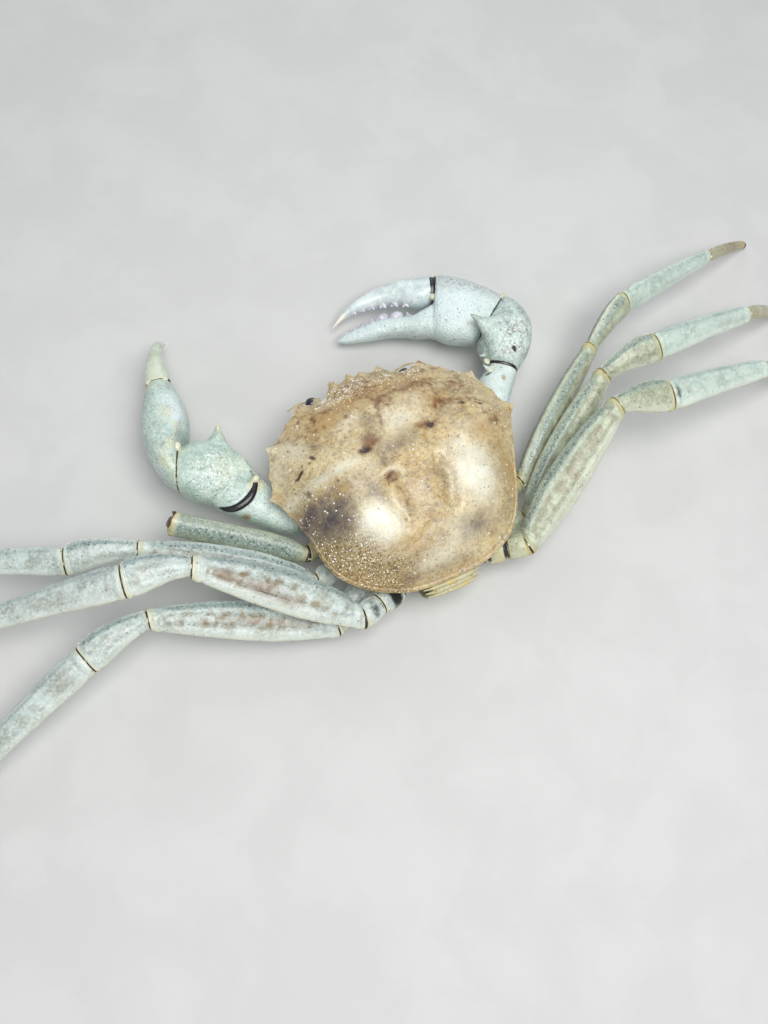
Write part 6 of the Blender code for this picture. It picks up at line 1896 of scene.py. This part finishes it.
bands = []
for y0, z0, reach_x, thick in BANDS:
    way = rear_arc(y0, z0, reach_x, BAND_STEPS)
    taper = [1 - 0.75 * bell(k, 0, 9) - 0.75 * bell(k, BAND_STEPS - 1, 9) for k in range(BAND_STEPS)]
    bands.append(tube("band", way, facing(way), Vector((0, 0.5, 1)), [(thick * t, 1.3 * t) for t in taper], 2.2, 28))
plates = joined("tail_root_plates", bands)
plates.data.shade_smooth()
worn = ripple(points_of(plates), 4.0, 3)
paint(plates, "tints", np.column_stack([0.35 + 0.4 * soft(worn, 0, 0.5), 0.3 * soft(-worn, 0.1, 0.5), 0 * worn]))
settle(plates, breast_shell, "breast_shell")
# The dark tube under the bands stands for soft skin and for the painted shade in their creases.
crease = [(0.75 - 0.3 * bell(k, 0, 6) - 0.3 * bell(k, CREASE_STEPS - 1, 6), 1.9) for k in range(CREASE_STEPS)]
add_strip(rear_arc(69.5, 31.4, 11.5, CREASE_STEPS), crease, 2.0, 20, Vector((0, -0.7, -1)))
print("tail root bands:", len(bands))

# %% [markdown]
# ## Soft joints, hinge knobs and crushing teeth
# Between two hard rims lies dark soft membrane, and each hinge turns on cream knobs. They are many small
# closed shapes of one finish each, so each kind is joined into one piece.


# %% Join small shapes of one finish
def gathered(name, shapes, finish, slot):
    """Join shapes into one finished piece."""
    thing = joined(name, shapes)
    thing.data.shade_smooth()
    print(name, "faces:", len(thing.data.polygons))
    settle(thing, finish, slot)


# The membranes also hold the dark tube under the tail's bands, which is partly painted shade.
gathered("joint_membranes", membrane_parts, membrane, "leg_shell")
gathered("hinge_knobs", knob_parts, knob_shell, "leg_shell")
gathered("crushing_teeth", tooth_parts, tooth_enamel, "finger_shell")

# %% [markdown]
# ## Grains along a ridge
# Every keel on a leg carries a row of tiny blunt grains. They repeat along a line, so Geometry Nodes place
# them: the line is resampled at a spacing, each point gets a small ball of twenty faces, and size and place
# vary with a fixed seed.


# %% Steps that the trees share
def tree_with(name, source, values):
    """A Geometry Nodes tree with a shape, some numbers, a seed and a finish as inputs."""
    inputs = [(source, SHAPE, None), *numbers(**values), ("Seed", WHOLE, 1), ("Finish", FINISH, None)]
    return group(name, inputs, [("Geometry", SHAPE)], "GeometryNodeTree")


def dotted_line(tree, ins):
    """Points along the lines at an even spacing."""
    line = add(tree, "GeometryNodeMeshToCurve", {"Mesh": ins["Lines"]}).outputs[0]
    row = add(tree, "GeometryNodeResampleCurve", {"Curve": line, "Length": ins["Spacing"]}, mode="LENGTH")
    return row.outputs[0]


def random_shift(tree, reach, seed):
    """A random vector up to a reach each way."""
    back = maths(tree, "MULTIPLY", reach, -1.0)
    lower = add(tree, "ShaderNodeCombineXYZ", {0: back, 1: back, 2: back}).outputs[0]
    upper = add(tree, "ShaderNodeCombineXYZ", {0: reach, 1: reach, 2: reach}).outputs[0]
    return add(tree, "FunctionNodeRandomValue", {0: lower, 1: upper, "Seed": seed}, data_type="FLOAT_VECTOR").outputs[0]


def random_size(tree, largest, share, seed):
    """A random number between a share of the largest and the largest."""
    small = maths(tree, "MULTIPLY", largest, share)
    return add(tree, "FunctionNodeRandomValue", {2: small, 3: largest, "Seed": seed}, data_type="FLOAT").outputs[1]


def small_ball(tree):
    """A ball of twenty faces."""
    return add(tree, "GeometryNodeMeshIcoSphere", {"Radius": 1.0, "Subdivisions": 1}).outputs[0]


def plant(tree, ins, outs, rounded=True, **places):
    """Set a shape on every point, make all of them real, and give them their finish."""
    spots = add(tree, "GeometryNodeInstanceOnPoints", places)
    real = add(tree, "GeometryNodeRealizeInstances", {"Geometry": spots.outputs[0]}).outputs[0]
    if rounded:
        real = add(tree, "GeometryNodeSetShadeSmooth", {"Geometry": real}).outputs[0]
    done = add(tree, "GeometryNodeSetMaterial", {"Geometry": real, "Material": ins["Finish"]})
    tree.links.new(done.outputs[0], outs.inputs["Geometry"])


# %% Tree: grains along lines
def grains_along():
    """Small balls along lines, of random size and a little scattered."""
    tree, ins, outs = tree_with("grains_along_a_ridge", "Lines", {"Spacing": 0.0012, "Size": 0.0005, "Scatter": 0.0003})
    row = dotted_line(tree, ins)
    jitter = random_shift(tree, ins["Scatter"], ins["Seed"])
    moved = add(tree, "GeometryNodeSetPosition", {"Geometry": row, "Offset": jitter}).outputs[0]
    ball = small_ball(tree)
    size = random_size(tree, ins["Size"], 0.5, ins["Seed"])
    plant(tree, ins, outs, Points=moved, Instance=ball, Scale=size)
    return tree


def grow(thing, tree, values):
    """Run a Geometry Nodes tree on an object and keep the result as a plain mesh."""
    step = thing.modifiers.new("grow", "NODES")
    step.node_group = tree
    for socket in tree.interface.items_tree:
        if socket.item_type == "SOCKET" and socket.in_out == "INPUT" and socket.name in values:
            step[socket.identifier] = values[socket.name]
    plain(thing)
    print(thing.name, "faces:", len(thing.data.polygons))
    return thing


def lines_object(name, lines):
    """Loose edges through lists of points in millimetres."""
    verts, edges = [], []
    for line in lines:
        start = len(verts)
        verts += [tuple(v * MM for v in p) for p in line]
        edges += [(start + k, start + k + 1) for k in range(len(line) - 1)]
    mesh = bpy.data.meshes.new(name)
    mesh.from_pydata(verts, edges, [])
    return put(name, mesh)


# %% Grains on the leg keels and on the front margin
ridge_tree = grains_along()


def grain_rows(name, lines, spacing, size, scatter, seed, finish, slot):
    """Grow rows of grains along lines and settle them."""
    settle(grow(lines_object(name, lines), ridge_tree, {"Spacing": spacing, "Size": size, "Scatter": scatter,
                                                        "Seed": seed, "Finish": finish}), finish, slot)


grain_rows("leg_keel_grains", ridge_lines, 0.00125, 0.00052, 0.0003, 3, leg_shell, "leg_shell")
grain_rows("leg_crest_grains", crest_lines, 0.0011, 0.00056, 0.00016, 4, grit, "leg_shell")
front = [tuple(p) for p in leaned(margin + pull) if p[1] < -2]
left_front = sorted([p for p in front if p[0] > 42], key=lambda p: p[1])
right_front = sorted([p for p in front if p[0] < -42], key=lambda p: p[1])
brow = sorted([p for p in front if abs(p[0]) < 18], key=lambda p: p[0])
grain_rows("front_margin_grains", [left_front, right_front, brow], 0.0013, 0.0005, 0.0003, 5, carapace_shell,
           "carapace_shell")

# %% [markdown]
# ## Grains scattered on a surface
# The claws are rough with low grains and the shield carries dried pale specks. A second tree scatters points
# on a surface at least a set distance apart, thinned by a mask stored on the mesh, and sets a small ball on
# each point.


# %% Tree: grains scattered where a mask allows
def grains_scattered():
    """Small flattened balls on a surface, at least a set distance apart."""
    tree, ins, outs = tree_with("grains_scattered", "Surface", {"Apart": 0.0015, "Density": 300000.0, "Size": 0.0004})
    mask = add(tree, "GeometryNodeInputNamedAttribute", {"Name": "grit"}, data_type="FLOAT").outputs[0]
    points = add(tree, "GeometryNodeDistributePointsOnFaces", {"Mesh": ins["Surface"], "Distance Min": ins["Apart"],
                                                               "Density Max": ins["Density"], "Density Factor": mask,
                                                               "Seed": ins["Seed"]}, distribute_method="POISSON")
    ball = small_ball(tree)
    size = random_size(tree, ins["Size"], 0.4, ins["Seed"])
    low = maths(tree, "MULTIPLY", size, 0.7)
    flat = add(tree, "ShaderNodeCombineXYZ", {0: size, 1: size, 2: low}).outputs[0]
    plant(tree, ins, outs, Points=points.outputs["Points"], Instance=ball, Rotation=points.outputs["Rotation"],
          Scale=flat)
    return tree


def masked_copy(name, sources, mask_of):
    """A joined copy of surfaces with the mask stored as the attribute grit."""
    thing = joined(name, sources, keep=True)
    layer = thing.data.attributes.new("grit", "FLOAT", "POINT")
    layer.data.foreach_set("value", np.clip(mask_of(points_of(thing), normals_of(thing)), 0, 1).astype(np.float32))
    return thing


# %% Grains on the claws
scatter_tree = grains_scattered()


def claw_grit(spots, out):
    """Most grains lie on the left wrist, fewer on the upper sides of the hands."""
    top = soft(out[:, 2], 0.05, 0.6) * soft(spots[:, 2], 22, 32)
    wrist = egg(spots, (98, -40, 41), (13, 13, 12))
    return top * (0.12 + 1.0 * wrist) * soft(ripple(spots, 9.0, 21), -0.5, 0.2) * soft(spots[:, 1], -108, -98)


claw_grains = grow(masked_copy("claw_grains", grit_sources, claw_grit), scatter_tree,
                   {"Apart": 0.0011, "Density": 600000.0, "Size": 0.00072, "Seed": 7, "Finish": claw_shell})
settle(claw_grains, claw_shell, "claw_shell")


# %% Dried pale specks on the shield
def shield_specks(spots, out):
    """Three places: two behind the brow and one over the left rear corner."""
    x, y, z = spots.T
    crust = np.exp(-(((x - 14) / 11) ** 2 + ((y + 54) / 6) ** 2)) * 2.0
    crust = crust + 0.75 * np.exp(-(((x + 12) / 26) ** 2 + ((y + 53) / 8) ** 2))
    crust = crust + 0.22 * np.exp(-(((x - 52) / 16) ** 2 + ((y - 28) / 20) ** 2))
    return (0.02 + 1.1 * crust) * soft(z, 37, 41) * soft(out[:, 2], 0.1, 0.4) * soft(ripple(spots, 5.0, 12), -0.35, 0.3)


specks_on_shield = grow(masked_copy("dried_specks", [carapace], shield_specks), scatter_tree,
                        {"Apart": 0.0008, "Density": 900000.0, "Size": 0.0007, "Seed": 11, "Finish": grit})
settle(specks_on_shield, grit, "carapace_shell")

# %% [markdown]
# ## Bristles of the mouth
# The mouthparts are fringed with stiff golden bristles. They stand along a line and lean outward, so a third
# tree sets a thin cone on each point of the line and turns it along a direction stored on the line.


# %% Tree: bristles along lines
def bristles_along():
    """Thin cones along lines, turned to a stored direction and a little unruly."""
    tree, ins, outs = tree_with("bristles_along_an_edge", "Lines", {"Spacing": 0.0004, "Length": 0.003,
                                                                    "Thickness": 0.00012, "Unruly": 0.35})
    row = dotted_line(tree, ins)
    lean = add(tree, "GeometryNodeInputNamedAttribute", {"Name": "lean"}, data_type="FLOAT_VECTOR").outputs[0]
    stray = random_shift(tree, ins["Unruly"], ins["Seed"])
    aim = add(tree, "ShaderNodeVectorMath", {0: lean, 1: stray}, operation="ADD").outputs[0]
    turn = add(tree, "FunctionNodeAlignRotationToVector", {"Vector": aim}, axis="Z").outputs[0]
    hair = add(tree, "GeometryNodeMeshCone", {"Vertices": 4, "Radius Top": 0.05, "Radius Bottom": 1.0, "Depth": 1.0},
               fill_type="NGON").outputs["Mesh"]
    tall = random_size(tree, ins["Length"], 0.6, ins["Seed"])
    size = add(tree, "ShaderNodeCombineXYZ", {0: ins["Thickness"], 1: ins["Thickness"], 2: tall}).outputs[0]
    plant(tree, ins, outs, rounded=False, Points=row, Instance=hair, Rotation=turn, Scale=size)
    return tree


# %% Fringe of the mouthparts
fringe, leans = [], []


def add_fringe(places, lean):
    """A line of bristles through places on the mouth, given as (along, across, above), all leaning one way."""
    fringe.append([tuple(on_mouth(*place)) for place in places])
    leans.extend([tuple(lean)] * len(places))


for side in (-1, 1):
    across = np.array((-side, 0, 0))
    add_fringe([(share, side * (1.2 if share < 18 else 1.7), 3.2) for share in np.linspace(3, 24, 22)],
               mouth_out * 0.8 + across * 0.9 - mouth_along * 0.2)
    add_fringe([(26.0, side * x, 2.2) for x in np.linspace(4.4, 12, 10)], mouth_along + mouth_out * 0.5)
    add_fringe([(share, side * (3.3 + 0.12 * (share - 14)), 5.2) for share in np.linspace(13.6, 22, 10)],
               mouth_out * 0.7 - mouth_along * 0.9 + across * 0.5)
fringe_lines = lines_object("mouth_fringe", fringe)
direction = fringe_lines.data.attributes.new("lean", "FLOAT_VECTOR", "POINT")
direction.data.foreach_set("vector", np.array(leans, np.float32).ravel())
grow(fringe_lines, bristles_along(), {"Spacing": 0.00028, "Length": 0.0032, "Thickness": 0.0001, "Unruly": 0.3,
                                      "Seed": 9, "Finish": bristle_hair})
settle(fringe_lines, bristle_hair, "mouthpart_shell")

# %% [markdown]
# ## Floor and light
# The model stands on a plain pale floor under soft daylight from above: one broad light overhead that gives
# the wet swellings their glow, a cooler one from the front and a weak one from behind.

# %% Pale floor
FLOOR_REACH = 3
floor_mesh = bpy.data.meshes.new("floor")
floor_mesh.from_pydata([(x * FLOOR_REACH, y * FLOOR_REACH, 0) for x, y in ((-1, -1), (1, -1), (1, 1), (-1, 1))], [],
                       [(0, 1, 2, 3)])
floor = put("floor", floor_mesh)
pale = bpy.data.materials.new("pale_floor")
pale.use_nodes = True
tree = pale.node_tree
shader = tree.nodes["Principled BSDF"]
card = effect(tree, clouds, Size=60.0)["Mask"]
tree.links.new(blend(tree, card, (0.62, 0.62, 0.61, 1), (0.65, 0.65, 0.64, 1)), shader.inputs["Base Color"])
shader.inputs["Roughness"].default_value = 0.8
floor_mesh.materials.append(pale)
print("floor reaches", FLOOR_REACH, "m each way")


# %% Soft light
def soft_light(name, place, aim, size, power, colour):
    """A square light of a size in metres and a power in watts, turned to a place."""
    data = bpy.data.lights.new(name, "AREA")
    data.size = size
    data.energy = power
    data.color = colour
    lamp = put(name, data)
    lamp.location = place
    lamp.rotation_euler = (Vector(aim) - Vector(place)).to_track_quat("-Z", "Y").to_euler()


soft_light("overhead", (-0.06, 0.24, 1.05), (0, 0, 0), 0.75, 10.5, (1.0, 0.99, 0.97))
soft_light("front", (-0.5, -1.1, 0.8), (0, 0, 0.02), 0.9, 3.4, (0.93, 0.97, 1.0))
soft_light("rear", (0.8, 0.9, 0.7), (0, 0, 0.02), 0.9, 2.4, (1.0, 0.98, 0.95))
world = bpy.data.worlds.new("soft_sky")
world.use_nodes = True
sky = world.node_tree.nodes["Background"].inputs
sky["Color"].default_value = (0.78, 0.84, 0.9, 1)
sky["Strength"].default_value = 0.34
bpy.context.scene.world = world
bpy.context.scene.view_settings.view_transform = "Standard"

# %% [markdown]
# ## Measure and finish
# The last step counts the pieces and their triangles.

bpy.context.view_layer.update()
triangles = sum(len(face.vertices) - 2 for name in made_pieces for face in bpy.data.objects[name].data.polygons)
print("pieces:", len(made_pieces), "triangles:", triangles)
